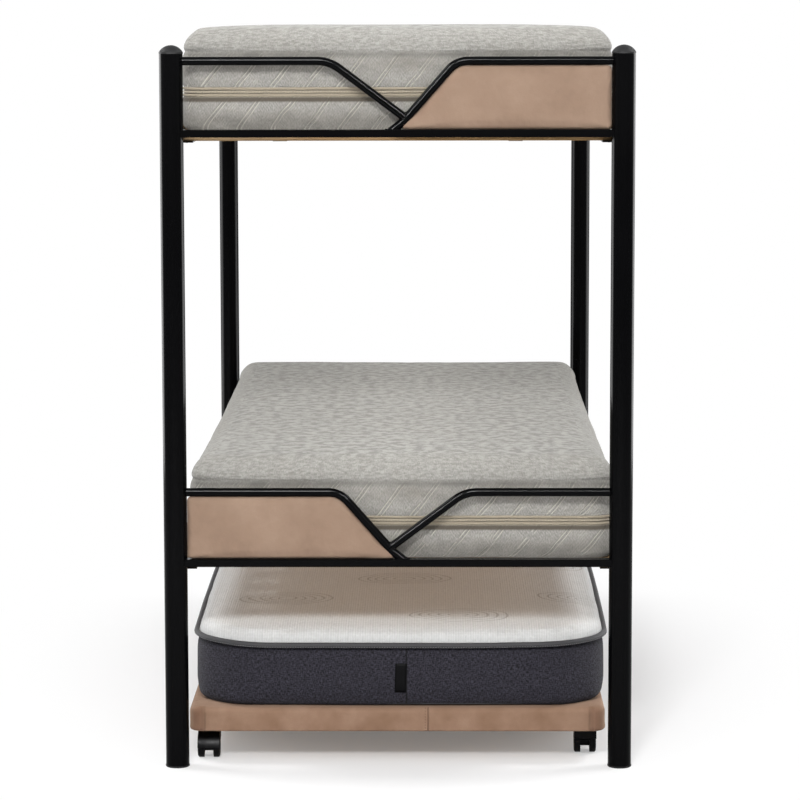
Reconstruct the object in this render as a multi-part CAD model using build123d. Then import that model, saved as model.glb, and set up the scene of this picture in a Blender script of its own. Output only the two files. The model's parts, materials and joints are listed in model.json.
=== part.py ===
from build123d import *
import math
import os

# A triple bunk bed: two fixed bunks on four posts, and a third bed that rolls out from under them.
# Sizes are millimetres. X runs across the bed, Y along it from the near end to the far end, Z up.
# The origin is on the floor, at the middle of the bed.

# Posts, with a plug in each end
post_diameter = 50
post_wall = 2
bed_height = 1543
plug_fit = 0.1
plug_depth = 26
cap_lip = 3
cap_overhang = 0.5
cap_dome = 15
foot_lip = 4
foot_overhang = 0.75
foot_edge = 1.5

# Levels: the top of the slats of each fixed bunk
upper_deck_below_top = 183
middle_deck = 446

# End frames: a flat rectangular lower rail and two bent round bars
lower_rail_height = 16
lower_rail_depth = 30
lower_rail_corner = 1.5
lower_rail_wall = 1.5
lower_rail_above_deck = 6
bar_diameter = 18
bar_back_set = 1.5
bar_above_deck = 149.5
long_bar_corner = 124
long_bar_bend = 55
long_bar_kink = 12
long_bar_kink_rise = 16
long_bar_kink_bend = 50
long_bar_foot = -9
short_bar_corner = -143
short_bar_bend = 78
short_bar_join_rise = 23
weld_gap = 0.1

# Panels: padded boards in the wide field of each end frame, fixed to lugs behind
panel_thickness = 14
panel_gap = 1
panel_corner = 8
panel_front_edge = 3.5
lug_width = 22
lug_thickness = 3
lug_reach = 15
lug_inset = 45
lug_foot_inset = 70

# Side rails, which hook into brackets on the posts
side_rail_width = 20
side_rail_height = 40
side_rail_corner = 1.5
side_rail_wall = 1.5
side_rail_below_deck = 29
ledge_width = 32
ledge_thickness = 3
bracket_height = 150
bracket_above_deck = 17
bracket_depth = 12
bracket_wall = 2.5
bracket_corner = 6
end_plate = 3
end_plate_inset = 6
hook_thickness = 4
hook_neck = 10
hook_drop = 10
hook_chamfer = 2.5
hook_play = 0.3
hook_seat_low = 28
hook_spacing = 80
slot_play = 0.5
slot_headroom = 4

# Slats, with the tapes that space them
slat_count = 12
slat_width = 90
slat_thickness = 20
slat_chamfer = 2
slat_end_gap = 3
first_slat_inset = 57
tape_width = 30
tape_thickness = 1
tape_offset = 250

# Mattresses of the fixed bunks, which set how far apart the side rails and the posts stand
mattress_width = 912
mattress_length = 1894
mattress_side_room = 9
mattress_end_gap = 3
mattress_thickness = 223
mattress_corner = 45
mattress_bottom_round = 20
mattress_top_round = 50
mattress_crown = 5
mattress_bow = 3
mattress_shift = {"upper": 0, "middle": 8}
zip_band_rise = 73
zip_band_height = 22
zip_band_recess = 2.5
zip_band_slope = 3

# Roll-out base: timbers and a deck in a padded cover. The bed stands a little left of the middle
roll_out_shift = -3
base_width = 904
base_length = 1880
base_bottom = 66
base_height = 54
base_corner = 28
base_top_round = 13
base_bottom_round = 3
cover_wall = 5
cover_top = 8
cover_hem = 2
cover_hem_width = 26
cover_fit = 0.3
timber_width = 60
timber_height = 35
cross_timbers = 3

# Mattress of the roll-out bed
roll_mattress_width = 906
roll_mattress_length = 1870
roll_mattress_thickness = 168
roll_mattress_shift = 6
roll_mattress_corner = 175
roll_mattress_bottom_round = 24
roll_mattress_top_round = 18
roll_mattress_crown = 7
roll_mattress_swell = 8
piping_height = 14
piping_edge = 3
piping_proud_of_side = 11
piping_proud_of_top = 7

# Twin wheel casters
caster_inset_x = 42
caster_inset_y = 77
caster_trail = 25
wheel_diameter = 50
wheel_width = 13.5
wheel_side_gap = 0.5
wheel_edge = 2.5
wheel_end_wall = 4
axle_diameter = 6
axle_end_gap = 0.25
running_gap = 0.05
web_width = 19.5
web_bottom_radius = 11
hood_gap = 1.5
hood_wall = 3
hood_front = 15
hood_front_bottom = 38
hood_top = 62.5
hood_shoulder = 10
collar_diameter = 24
collar_gap = 0.5
kingpin_diameter = 10
kingpin_length = 21
kingpin_end_gap = 1
stem_diameter = 8
stem_length = 24
stem_end_gap = 1
stem_hex = 14
stem_collar = 2.5

# The way each caster trails at rest: side, end, and direction along the bed
caster_layout = {
    "front_left": (-1, -1, -1),
    "front_right": (1, -1, 1),
    "rear_left": (-1, 1, 1),
    "rear_right": (1, 1, -1),
}

# How far in from the sides the crown of a mattress is reached
crown_reach = 150

# How far a cutting shape runs past what it cuts
overrun = 10

# Places worked out from the sizes above
upper_deck = bed_height - upper_deck_below_top
side_rail_inner = mattress_width / 2 + mattress_side_room
post_radius = post_diameter / 2
post_x = side_rail_inner + side_rail_width / 2
post_y = mattress_length / 2 + mattress_end_gap + post_radius
post_bore_radius = post_radius - post_wall
post_top = bed_height - cap_lip - cap_dome
bar_radius = bar_diameter / 2
panel_back = bar_radius - bar_back_set
web_face = post_y - post_radius - bracket_depth
slat_half_length = side_rail_inner - slat_end_gap
base_top = base_bottom + base_height
piping_rise = roll_mattress_thickness - roll_mattress_crown - roll_mattress_top_round - piping_height
timber_bottom = base_bottom + cover_hem
timber_top = timber_bottom + timber_height
caster_x = base_width / 2 - caster_inset_x
caster_y = base_length / 2 - caster_inset_y
wheel_radius = wheel_diameter / 2
collar_top = timber_bottom - stem_collar - collar_gap
wheel_inner = web_width / 2 + wheel_side_gap
axle_half = wheel_inner + wheel_width - wheel_end_wall - axle_end_gap

BASE = (Align.CENTER, Align.CENTER, Align.MIN)
levels = {"upper": (upper_deck, 1), "middle": (middle_deck, -1)}
os.makedirs("parts", exist_ok=True)


def save(name, *shapes):
    """Writes one node, whose solids are all those of the given shapes."""
    solids = [solid for shape in shapes for solid in shape.solids()]
    export_step(solids[0] if len(solids) == 1 else Compound(solids), f"parts/{name}.step")


def block(low, high):
    """A box between two opposite corners."""
    size = [b - a for a, b in zip(low, high)]
    return Pos(*low) * Box(*size, align=(Align.MIN, Align.MIN, Align.MIN))


def rod(radius, start, end):
    """A round bar between two points."""
    axis = Vector(*end) - Vector(*start)
    return Plane(origin=start, z_dir=axis) * Cylinder(radius, axis.length, align=BASE)


def prism(outline, low, high):
    """A flat outline drawn in X and Z, given its thickness between two places along Y."""
    return Pos(0, high, 0) * extrude(Plane.XZ * outline, high - low)


def side_prism(outline, half_width):
    """A flat outline drawn in Y and Z, given the same thickness to both sides of the middle."""
    return extrude(Plane.YZ * outline, half_width, both=True)


def outline_of(*lines):
    """The face inside lines and arcs that meet end to end."""
    return make_face(Wire([edge for line in lines for edge in line.edges()]))


def half_turn(shape):
    """The same piece at the far end, turned about the bed's middle."""
    return Rot(0, 0, 180) * shape


def both_sides(shape):
    """The piece on the right and its mirror image on the left."""
    return shape, mirror(shape, about=Plane.YZ)


def dome_arc(radius, low, rise):
    """An arc from the rim of a dome up to its top, in a half outline of radius and height."""
    sphere = (radius**2 + rise**2) / (2 * rise)
    half_angle = math.asin(radius / sphere) / 2
    middle = (sphere * math.sin(half_angle), low + rise - sphere * (1 - math.cos(half_angle)))
    return ThreePointArc((radius, low), middle, (0, low + rise))


def post_places():
    """The four posts, named by end and side."""
    for end, sign_y in (("front", -1), ("rear", 1)):
        for side, sign_x in (("left", -1), ("right", 1)):
            yield f"{end}_{side}", (sign_x * post_x, sign_y * post_y)


def post_envelope(gap):
    """The outsides of the two posts of the near end, a gap larger, to cut what is fitted to them."""
    low, high = -overrun, bed_height + overrun
    right = rod(post_radius + gap, (post_x, -post_y, low), (post_x, -post_y, high))
    return right + mirror(right, about=Plane.YZ)


def make_post():
    length = post_top - foot_lip
    tube = Cylinder(post_radius, length, align=BASE) - Cylinder(post_bore_radius, length, align=BASE)
    return Pos(0, 0, foot_lip) * tube


def make_cap():
    """A domed cap whose spigot fits the post's bore. Its height is counted from the post's top."""
    spigot, rim = post_bore_radius - plug_fit, post_radius + cap_overhang
    lower = Polyline(
        (0, cap_lip + cap_dome), (0, -plug_depth), (spigot, -plug_depth), (spigot, 0), (rim, 0), (rim, cap_lip)
    )
    return Pos(0, 0, post_top) * revolve(Plane.XZ * outline_of(lower, dome_arc(rim, cap_lip, cap_dome)), Axis.Z)


def make_foot():
    """A glide with its spigot up in the post's bore, and its lower edge turned in."""
    spigot, rim = post_bore_radius - plug_fit, post_radius + foot_overhang
    half = Polyline(
        (0, 0), (rim - foot_edge, 0), (rim, foot_edge), (rim, foot_lip), (spigot, foot_lip),
        (spigot, foot_lip + plug_depth), (0, foot_lip + plug_depth), close=True,
    )
    return revolve(Plane.XZ * make_face(half), Axis.Z)


def swept(path, radius):
    """A round bar along a path."""
    return sweep(Plane(origin=path @ 0, z_dir=path % 0) * Circle(radius), path=path)


def bar_line(points, bends):
    """The centre line of a bent bar in the plane of the near end's posts."""
    return FilletPolyline(*[(x, -post_y, z) for x, z in points], radius=bends)


def long_bar_point(z, deck):
    """Where the slanting run of the long bar's centre line has a given height."""
    top, kink = deck + bar_above_deck, deck + lower_rail_above_deck + long_bar_kink_rise
    share = (top - z) / (top - kink)
    return long_bar_corner + (long_bar_kink - long_bar_corner) * share


def long_bar_line(deck):
    top, rail_top = deck + bar_above_deck, deck + lower_rail_above_deck
    kink = (long_bar_kink, rail_top + long_bar_kink_rise)
    slope = (kink[0] - long_bar_foot) / long_bar_kink_rise
    foot = (long_bar_foot - overrun * slope, rail_top - overrun)
    start = (post_x - post_radius / 2, top)
    return bar_line([start, (long_bar_corner, top), kink, foot], [long_bar_bend, long_bar_kink_bend])


def short_bar_line(deck):
    top, join = deck + bar_above_deck, deck + lower_rail_above_deck + short_bar_join_rise
    start = (-post_x + post_radius / 2, top)
    return bar_line([start, (short_bar_corner, top), (long_bar_point(join, deck), join)], [short_bar_bend])


def lug(x, z, direction, root=0):
    """A plate behind the panel, welded to the bar or rail at height z and reaching up or down.

    A root carries the plate on past that height, up the back of a round bar.
    """
    back, front = -post_y + panel_back, -post_y + panel_back + lug_thickness
    low, high = sorted((z - direction * root, z + direction * lug_reach))
    return block((x - lug_width / 2, back, low), (x + lug_width / 2, front, high))


def lug_places(deck):
    """Each lug of the near upper end frame: its place, the height that it starts from, and up or down."""
    right = post_x - post_radius - lug_inset
    below_bar, rail_top = deck + bar_above_deck - bar_radius, deck + lower_rail_above_deck
    return [
        (right, below_bar, -1),
        (long_bar_corner + lug_inset, below_bar, -1),
        (right, rail_top, 1),
        (long_bar_kink + lug_foot_inset, rail_top, 1),
    ]


def make_lower_rail(deck):
    """A rectangular tube on the flat, its ends cut to the posts, with the two lower lugs."""
    outer = cut_corner_rectangle(lower_rail_depth, lower_rail_height, lower_rail_corner)
    inner = Rectangle(lower_rail_depth - 2 * lower_rail_wall, lower_rail_height - 2 * lower_rail_wall)
    reach = post_x - post_radius / 2
    centre_z = deck + lower_rail_above_deck - lower_rail_height / 2
    tube = extrude(Plane.YZ * (outer - inner), reach, both=True)
    rail = Pos(0, -post_y, centre_z) * tube - post_envelope(weld_gap)
    for x, z, direction in lug_places(deck):
        if direction > 0:
            rail += lug(x, z, direction)
    return rail


def make_long_bar(deck):
    """The long bent bar, cut to the post and to the top of the lower rail, with the two upper lugs."""
    line = long_bar_line(deck)
    rail_top = deck + lower_rail_above_deck
    below = block(
        (-post_x, -post_y - post_radius, rail_top - lower_rail_height - overrun), (post_x, -post_y + post_radius, rail_top)
    )
    bar = swept(line, bar_radius) - post_envelope(weld_gap) - below
    for x, z, direction in lug_places(deck):
        if direction < 0:
            bar += lug(x, z, direction, bar_radius)
    return bar


def make_short_bar(deck):
    """The short bent bar, cut to its post and to the long bar."""
    bar = swept(short_bar_line(deck), bar_radius)
    return bar - post_envelope(weld_gap) - swept(long_bar_line(deck), bar_radius + weld_gap)


def panel_outline(deck):
    """The field between the long bar, the post and the lower rail, less the gap all round."""
    inset = bar_radius + panel_gap
    top, bottom = deck + bar_above_deck - inset, deck + lower_rail_above_deck + panel_gap
    right = post_x - post_radius - panel_gap
    run = long_bar_corner - long_bar_kink
    rise = deck + bar_above_deck - (deck + lower_rail_above_deck + long_bar_kink_rise)
    sideways = inset * math.hypot(run, rise) / rise
    corners = [
        (long_bar_point(top, deck) + sideways, top),
        (right, top),
        (right, bottom),
        (long_bar_point(bottom, deck) + sideways, bottom),
    ]
    face = make_face(Polyline(*corners, close=True))
    vertices = face.vertices()
    first = vertices.sort_by(lambda vertex: (vertex.X - corners[0][0]) ** 2 + (vertex.Y - corners[0][1]) ** 2)[0]
    others = [vertex for vertex in vertices if vertex is not first]
    face = fillet(others, panel_corner)
    first = face.vertices().sort_by(lambda vertex: (vertex.X - corners[0][0]) ** 2 + (vertex.Y - corners[0][1]) ** 2)[0]
    return fillet(first, long_bar_bend - inset)


def make_panel(deck):
    """A padded board with softened front edges, its back on the lugs."""
    back = -post_y + panel_back
    board = prism(panel_outline(deck), back - panel_thickness, back)
    return chamfer(board.faces().sort_by(Axis.Y)[0].edges(), panel_front_edge)


def hook_seats(deck):
    """The heights at which the necks of the two hooks rest."""
    low = deck + bracket_above_deck - bracket_height + hook_seat_low
    return low, low + hook_spacing


def cut_corner_rectangle(width, height, corner):
    """A rectangle whose corners are cut off slantwise."""
    face = Rectangle(width, height)
    return chamfer(face.vertices(), corner)


def make_bracket(deck):
    """A pressed cup on the right post of the near end, with a slot in its face for each hook."""
    middle_z = deck + bracket_above_deck - bracket_height / 2
    outer = cut_corner_rectangle(side_rail_width, bracket_height, bracket_corner)
    wall = 2 * bracket_wall
    inner = cut_corner_rectangle(side_rail_width - wall, bracket_height - wall, bracket_corner - bracket_wall / 2)
    at = Pos(post_x, middle_z)
    cup = prism(at * outer, -post_y, -web_face) - prism(at * inner, -post_y, -web_face - bracket_wall)
    cup -= post_envelope(weld_gap)
    half_slot = hook_thickness / 2 + slot_play
    for seat in hook_seats(deck):
        top = seat + hook_neck + hook_drop + slot_headroom
        cup -= block((post_x - half_slot, -post_y, seat), (post_x + half_slot, -web_face + overrun, top))
    return cup


def make_hook(seat):
    """A plate hook on the near end of the right side rail: its neck rests in the slot, its nose hangs behind."""
    plate_back = -web_face
    nose_front = plate_back - bracket_wall - hook_play
    nose_back = nose_front - hook_thickness
    points = [
        (plate_back + end_plate / 2, seat),
        (nose_front, seat),
        (nose_front, seat - hook_drop),
        (nose_back + hook_chamfer, seat - hook_drop),
        (nose_back, seat - hook_drop + hook_chamfer),
        (nose_back, seat + hook_neck - hook_chamfer),
        (nose_back + hook_chamfer, seat + hook_neck),
        (plate_back + end_plate / 2, seat + hook_neck),
    ]
    return Pos(post_x, 0, 0) * side_prism(make_face(Polyline(*points, close=True)), hook_thickness / 2)


def make_side_rail(deck):
    """The right side rail: a tube between two end plates with hooks, and a ledge along its inner side."""
    half_length = web_face - end_plate
    bottom = deck - side_rail_below_deck
    outer = cut_corner_rectangle(side_rail_width, side_rail_height, side_rail_corner)
    inner = Rectangle(side_rail_width - 2 * side_rail_wall, side_rail_height - 2 * side_rail_wall)
    at = Pos(post_x, bottom + side_rail_height / 2)
    rail = prism(at * (outer - inner), -half_length, half_length)

    ledge_top, ledge_reach = deck - slat_thickness, side_rail_inner - ledge_width
    middle_of_wall = side_rail_inner + side_rail_wall / 2
    root = bottom + side_rail_corner
    ledge = Polyline(
        (middle_of_wall, ledge_top),
        (ledge_reach, ledge_top),
        (ledge_reach, ledge_top - ledge_thickness),
        (side_rail_inner - (ledge_top - ledge_thickness - root), ledge_top - ledge_thickness),
        (side_rail_inner, root),
        (middle_of_wall, root),
        close=True,
    )
    rail += prism(make_face(ledge), -half_length, half_length)

    plate_low = deck + bracket_above_deck - bracket_height + end_plate_inset
    plate_high = bottom + side_rail_height
    half_width = side_rail_width / 2
    plate = block((post_x - half_width, -web_face, plate_low), (post_x + half_width, -half_length, plate_high))
    for seat in hook_seats(deck):
        plate += make_hook(seat)
    return rail + plate + mirror(plate, about=Plane.XZ)


def slat_centres():
    """The places of the slats along the bed."""
    first = post_y - first_slat_inset - slat_width / 2
    pitch = 2 * first / (slat_count - 1)
    return [pitch * i - first for i in range(slat_count)]


def make_slats(deck):
    """Planed slats with eased edges, their ends on the ledges of the two side rails."""
    low, half_width = (-slat_half_length, -slat_width / 2, deck - slat_thickness), slat_width / 2
    slat = block(low, (slat_half_length, half_width, deck))
    slat = chamfer(slat.edges().filter_by(Axis.X), slat_chamfer)
    return [Pos(0, centre, 0) * slat for centre in slat_centres()]


def make_tapes(deck):
    """Two woven tapes under the slats, from the first slat to the last."""
    top, reach = deck - slat_thickness, slat_centres()[-1] + slat_width / 2 - slat_chamfer
    tape = block((tape_offset - tape_width / 2, -reach, top - tape_thickness), (tape_offset + tape_width / 2, reach, top))
    return both_sides(tape)


def bowed_rectangle(half_x, half_y, corner, bow):
    """A rectangle with round corners, whose sides draw in by the bow at their middles, or swell if it is negative."""
    cut = corner * (1 - math.sqrt(0.5))
    x, y = half_x - corner, half_y - corner
    return outline_of(
        ThreePointArc((-x, -half_y), (0, -half_y + bow), (x, -half_y)),
        ThreePointArc((x, -half_y), (half_x - cut, -half_y + cut), (half_x, -y)),
        ThreePointArc((half_x, -y), (half_x - bow, 0), (half_x, y)),
        ThreePointArc((half_x, y), (half_x - cut, half_y - cut), (x, half_y)),
        ThreePointArc((x, half_y), (0, half_y - bow), (-x, half_y)),
        ThreePointArc((-x, half_y), (-half_x + cut, half_y - cut), (-half_x, y)),
        ThreePointArc((-half_x, y), (-half_x + bow, 0), (-half_x, -y)),
        ThreePointArc((-half_x, -y), (-half_x + cut, -half_y + cut), (-x, -half_y)),
    )


def round_rows(radius, steps):
    """Heights and insets of a rounded lower edge, from its foot up to the upright side."""
    for i in range(steps + 1):
        angle = math.pi / 2 * i / steps
        yield radius * (1 - math.cos(angle)), radius * (1 - math.sin(angle))


def padded_body(size, rows, corner, bow):
    """A soft body lofted through bowed outlines, one for each row of height and inset."""
    width, length = size
    sections = [
        Pos(0, 0, height) * bowed_rectangle(width / 2 - inset, length / 2 - inset, max(corner - inset, corner / 4), bow)
        for height, inset in rows
    ]
    return loft(sections, ruled=True)


def crown_rows(top, radius, crown):
    """The rounded upper edge, and the crown that rises from it to the middle."""
    edge = [(top - crown - height, inset) for height, inset in round_rows(radius, 3)]
    return edge[::-1] + [(top, crown_reach)]


def make_mattress(deck, shift):
    """A quilted mattress with a sunk zip band round its sides and a crowned top."""
    band_top = zip_band_rise + zip_band_height
    rows = list(round_rows(mattress_bottom_round, 2)) + [
        (zip_band_rise, 0),
        (zip_band_rise + zip_band_slope, zip_band_recess),
        (band_top - zip_band_slope, zip_band_recess),
        (band_top, 0),
    ]
    rows += crown_rows(mattress_thickness, mattress_top_round, mattress_crown)
    body = padded_body((mattress_width, mattress_length), rows, mattress_corner, mattress_bow)
    return Pos(shift, 0, deck) * body


def make_roll_mattress():
    """The roll-out bed's mattress: upright sides, a proud piping near the top, and a crowned top."""
    rows = [(height, inset + piping_proud_of_side) for height, inset in round_rows(roll_mattress_bottom_round, 2)]
    rows += [
        (piping_rise, piping_proud_of_side),
        (piping_rise + piping_edge, 0),
        (piping_rise + piping_height - piping_edge, 0),
    ]
    upper = crown_rows(roll_mattress_thickness, roll_mattress_top_round, roll_mattress_crown)
    rows += [(height, inset + piping_proud_of_top) for height, inset in upper]
    size = (roll_mattress_width, roll_mattress_length)
    return Pos(roll_mattress_shift, 0, base_top) * padded_body(size, rows, roll_mattress_corner, -roll_mattress_swell)


def base_outline(inset):
    """The plan of the roll-out base, a distance in from its outside."""
    corner = max(base_corner - inset, base_corner / 4)
    return RectangleRounded(base_width - 2 * inset, base_length - 2 * inset, corner)


def make_cover():
    """The padded cover: a tray upside down over the deck, its hem turned in under the timbers."""
    lower = list(round_rows(base_bottom_round, 1))
    upper = [(base_height - height, inset) for height, inset in round_rows(base_top_round, 2)]
    body = loft([Pos(0, 0, height) * base_outline(inset) for height, inset in lower + upper[::-1]], ruled=True)
    body -= Pos(0, 0, cover_hem) * extrude(base_outline(cover_wall), base_height - cover_hem - cover_top)
    body -= Pos(0, 0, -overrun) * extrude(base_outline(cover_hem_width), cover_hem + 2 * overrun)
    return Pos(0, 0, base_bottom) * body


def make_timbers():
    """Two side timbers with end and cross timbers between them, laid flat."""
    half_x = base_width / 2 - cover_wall - cover_fit
    half_y = base_length / 2 - cover_wall - cover_fit
    timbers = []
    for sign in (-1, 1):
        low_x, high_x = sorted((sign * half_x, sign * (half_x - timber_width)))
        timbers.append(block((low_x, -half_y, timber_bottom), (high_x, half_y, timber_top)))
    spacing = (2 * half_y - timber_width) / (cross_timbers + 1)
    for i in range(cross_timbers + 2):
        low_y = spacing * i - half_y
        near, far = (timber_width - half_x, low_y, timber_bottom), (half_x - timber_width, low_y + timber_width, timber_top)
        timbers.append(block(near, far))
    trim = Pos(0, 0, timber_bottom) * extrude(base_outline(cover_wall + cover_fit), timber_height)
    timbers = [timber & trim for timber in timbers]
    bore_top = timber_bottom + stem_length + stem_end_gap
    for _, (x, y), _ in caster_places():
        bore = rod(stem_diameter / 2 + running_gap, (x, y, timber_bottom - overrun), (x, y, bore_top))
        timbers = [timber - bore for timber in timbers]
    return timbers


def make_deck():
    top = base_top - cover_top - cover_fit
    return Pos(0, 0, timber_top) * extrude(base_outline(cover_wall + cover_fit), top - timber_top)


def caster_places():
    """Each caster: its name, where its swivel axis stands in the base, and the way it trails along the bed."""
    for name, (sign_x, sign_y, trail) in caster_layout.items():
        yield name, (sign_x * caster_x, sign_y * caster_y), trail


def make_stem():
    """A swivel stem: a thread up into the timber, a hexagonal collar, and a kingpin down into the housing."""
    stem = rod(stem_diameter / 2, (0, 0, timber_bottom), (0, 0, timber_bottom + stem_length))
    hexagon = RegularPolygon(stem_hex / 2, 6, major_radius=False)
    stem += Pos(0, 0, timber_bottom - stem_collar) * extrude(hexagon, stem_collar)
    kingpin_top = timber_bottom - stem_collar
    return stem + rod(kingpin_diameter / 2, (0, 0, kingpin_top - kingpin_length), (0, 0, kingpin_top))


def make_housing():
    """A twin wheel hood: a web between the wheels, a fender over them, and a socket for the kingpin.

    The swivel axis is at the origin of X and Y, and the wheels trail along Y.
    """
    hood_radius = wheel_radius + hood_gap + hood_wall
    cavity = wheel_radius + hood_gap
    centre_y, centre_z = caster_trail, wheel_radius
    shoulder = (hood_shoulder, hood_top)
    reach = math.hypot(shoulder[0] - centre_y, shoulder[1] - centre_z)
    angle = math.atan2(shoulder[1] - centre_z, shoulder[0] - centre_y) - math.acos(hood_radius / reach)
    tangent, between = [
        (centre_y + hood_radius * math.cos(turn), centre_z + hood_radius * math.sin(turn)) for turn in (angle, angle / 2)
    ]
    heel = (centre_y + hood_radius, centre_z)
    profile = outline_of(
        Polyline(heel, (centre_y, centre_z), (-hood_front, hood_front_bottom), (-hood_front, hood_top), shoulder, tangent),
        ThreePointArc(tangent, between, heel),
    )
    half_width = wheel_inner + wheel_width
    hood = side_prism(profile, half_width)
    hub = rod(web_bottom_radius, (-half_width, centre_y, centre_z), (half_width, centre_y, centre_z))
    hood += hub
    wheels_room = rod(cavity, (-half_width, centre_y, centre_z), (half_width, centre_y, centre_z))
    web = block((-web_width / 2, -hood_front, 0), (web_width / 2, centre_y + hood_radius, hood_top))
    hood -= wheels_room - web
    hood += rod(collar_diameter / 2, (0, 0, hood_top - collar_gap), (0, 0, collar_top))

    kingpin_low = timber_bottom - stem_collar - kingpin_length - kingpin_end_gap
    hood -= rod(kingpin_diameter / 2 + running_gap, (0, 0, kingpin_low), (0, 0, collar_top + overrun))
    bore = axle_diameter / 2 + running_gap
    return hood - rod(bore, (-half_width, centre_y, centre_z), (half_width, centre_y, centre_z))


def make_axle():
    return rod(axle_diameter / 2, (-axle_half, caster_trail, wheel_radius), (axle_half, caster_trail, wheel_radius))


def make_wheel():
    """The wheel on the right of the web: a blind bore for the axle, and an eased outer edge."""
    bore, deep = axle_diameter / 2 + running_gap, wheel_width - wheel_end_wall
    half = Polyline(
        (bore, 0),
        (wheel_radius, 0),
        (wheel_radius, wheel_width - wheel_edge),
        (wheel_radius - wheel_edge, wheel_width),
        (0, wheel_width),
        (0, deep),
        (bore, deep),
        close=True,
    )
    wheel = revolve(Plane.XZ * make_face(half), Axis.Z)
    return Pos(wheel_inner, caster_trail, wheel_radius) * Rot(0, 90, 0) * wheel


def at_caster(shape, place, trail):
    """A caster piece put at its swivel axis and turned to the way that the caster trails."""
    return Pos(*place, 0) * Rot(0, 0, 0 if trail > 0 else 180) * shape


post, cap, foot = make_post(), make_cap(), make_foot()
for name, (x, y) in post_places():
    save(f"{name}_post", Pos(x, y, 0) * post)
save("post_caps", *[Pos(x, y, 0) * cap for _, (x, y) in post_places()])
save("post_feet", *[Pos(x, y, 0) * foot for _, (x, y) in post_places()])

for level, (deck, side) in levels.items():
    frame = {
        "lower_rail": make_lower_rail(deck),
        "long_bar": make_long_bar(deck),
        "short_bar": make_short_bar(deck),
        "panel": make_panel(deck),
    }
    for piece, shape in frame.items():
        if side < 0:
            shape = mirror(shape, about=Plane.YZ)
        save(f"{level}_front_{piece}", shape)
        save(f"{level}_rear_{piece}", half_turn(shape))

    right_rail, left_rail = both_sides(make_side_rail(deck))
    save(f"{level}_right_side_rail", right_rail)
    save(f"{level}_left_side_rail", left_rail)
    near_brackets = both_sides(make_bracket(deck))
    save(f"{level}_rail_brackets", *near_brackets, *[half_turn(shape) for shape in near_brackets])
    save(f"{level}_slats", *make_slats(deck))
    save(f"{level}_mattress", make_mattress(deck, mattress_shift[level]))
save("slat_tapes", *[tape for deck, _ in levels.values() for tape in make_tapes(deck)])

rolled = Pos(roll_out_shift, 0, 0)
save("base_cover", rolled * make_cover())
save("base_timbers", *[rolled * timber for timber in make_timbers()])
save("base_deck", rolled * make_deck())
save("roll_out_mattress", rolled * make_roll_mattress())
save("caster_stems", *[rolled * at_caster(make_stem(), place, trail) for _, place, trail in caster_places()])
housing, axle, wheel = make_housing(), make_axle(), make_wheel()
right_wheel, left_wheel = both_sides(wheel)
for name, place, trail in caster_places():
    save(f"{name}_caster_housing", rolled * at_caster(housing, place, trail))
    save(f"{name}_caster_axle", rolled * at_caster(axle, place, trail))
    save(f"{name}_caster_wheel_a", rolled * at_caster(right_wheel, place, trail))
    save(f"{name}_caster_wheel_b", rolled * at_caster(left_wheel, place, trail))
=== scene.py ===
# %% [markdown]
# # A triple bunk bed
#
# Two bunks on four black posts, and a third bed that rolls out from under them. The frame comes from
# the CAD model, already in its place and in metres. This notebook gives it its finishes, makes the
# soft pieces (three mattresses, four suede panels and the suede base), and sets the camera and lights.

# %% Load the frame
import json
import math

import bmesh
import bpy
from mathutils import Matrix, Vector, noise

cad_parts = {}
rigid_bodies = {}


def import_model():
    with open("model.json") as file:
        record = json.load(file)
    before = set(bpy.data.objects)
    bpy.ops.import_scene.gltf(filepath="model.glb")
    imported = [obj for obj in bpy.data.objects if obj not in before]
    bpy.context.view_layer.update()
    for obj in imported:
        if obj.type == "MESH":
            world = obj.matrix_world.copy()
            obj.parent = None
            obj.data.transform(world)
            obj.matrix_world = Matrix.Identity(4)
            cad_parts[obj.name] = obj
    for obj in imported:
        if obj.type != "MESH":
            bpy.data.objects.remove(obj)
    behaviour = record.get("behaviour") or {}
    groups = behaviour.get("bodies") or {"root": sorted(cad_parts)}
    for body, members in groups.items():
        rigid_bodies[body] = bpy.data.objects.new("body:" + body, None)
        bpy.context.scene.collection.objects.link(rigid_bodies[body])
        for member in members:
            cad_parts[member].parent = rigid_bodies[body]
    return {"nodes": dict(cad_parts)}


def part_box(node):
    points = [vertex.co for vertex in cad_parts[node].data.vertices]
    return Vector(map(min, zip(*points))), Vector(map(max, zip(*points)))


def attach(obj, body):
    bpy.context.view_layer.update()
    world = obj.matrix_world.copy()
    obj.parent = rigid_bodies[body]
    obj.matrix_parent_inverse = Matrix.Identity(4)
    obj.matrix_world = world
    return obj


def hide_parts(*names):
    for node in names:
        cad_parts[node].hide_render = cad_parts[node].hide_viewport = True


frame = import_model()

scene = bpy.context.scene
nodes = frame["nodes"]
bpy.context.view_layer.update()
mm = 0.001

# %% [markdown]
# ## Small helpers
#
# Colours are written as the sRGB hex values that a colour picker shows, but shader sockets work in linear
# light, so one function converts them. Another adds a node of any kind with its settings and links, and
# two more start a material and turn lists of points and faces into an object.

# %% Colours, nodes, materials and meshes
def linear(hexed):
    """An sRGB hex colour as linear red, green, blue and alpha."""
    channels = [int(hexed[i:i + 2], 16) / 255 for i in (0, 2, 4)]
    return [c / 12.92 if c <= 0.04045 else ((c + 0.055) / 1.055) ** 2.4 for c in channels] + [1.0]


def add(tree, kind, inputs=None, **settings):
    """Adds a node, sets its properties, and links or fills the inputs given by name or number."""
    new = tree.nodes.new(kind)
    for name, value in settings.items():
        setattr(new, name, value)
    for key, value in (inputs or {}).items():
        if isinstance(value, bpy.types.NodeSocket):
            tree.links.new(value, new.inputs[key])
        else:
            new.inputs[key].default_value = value
    return new


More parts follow.
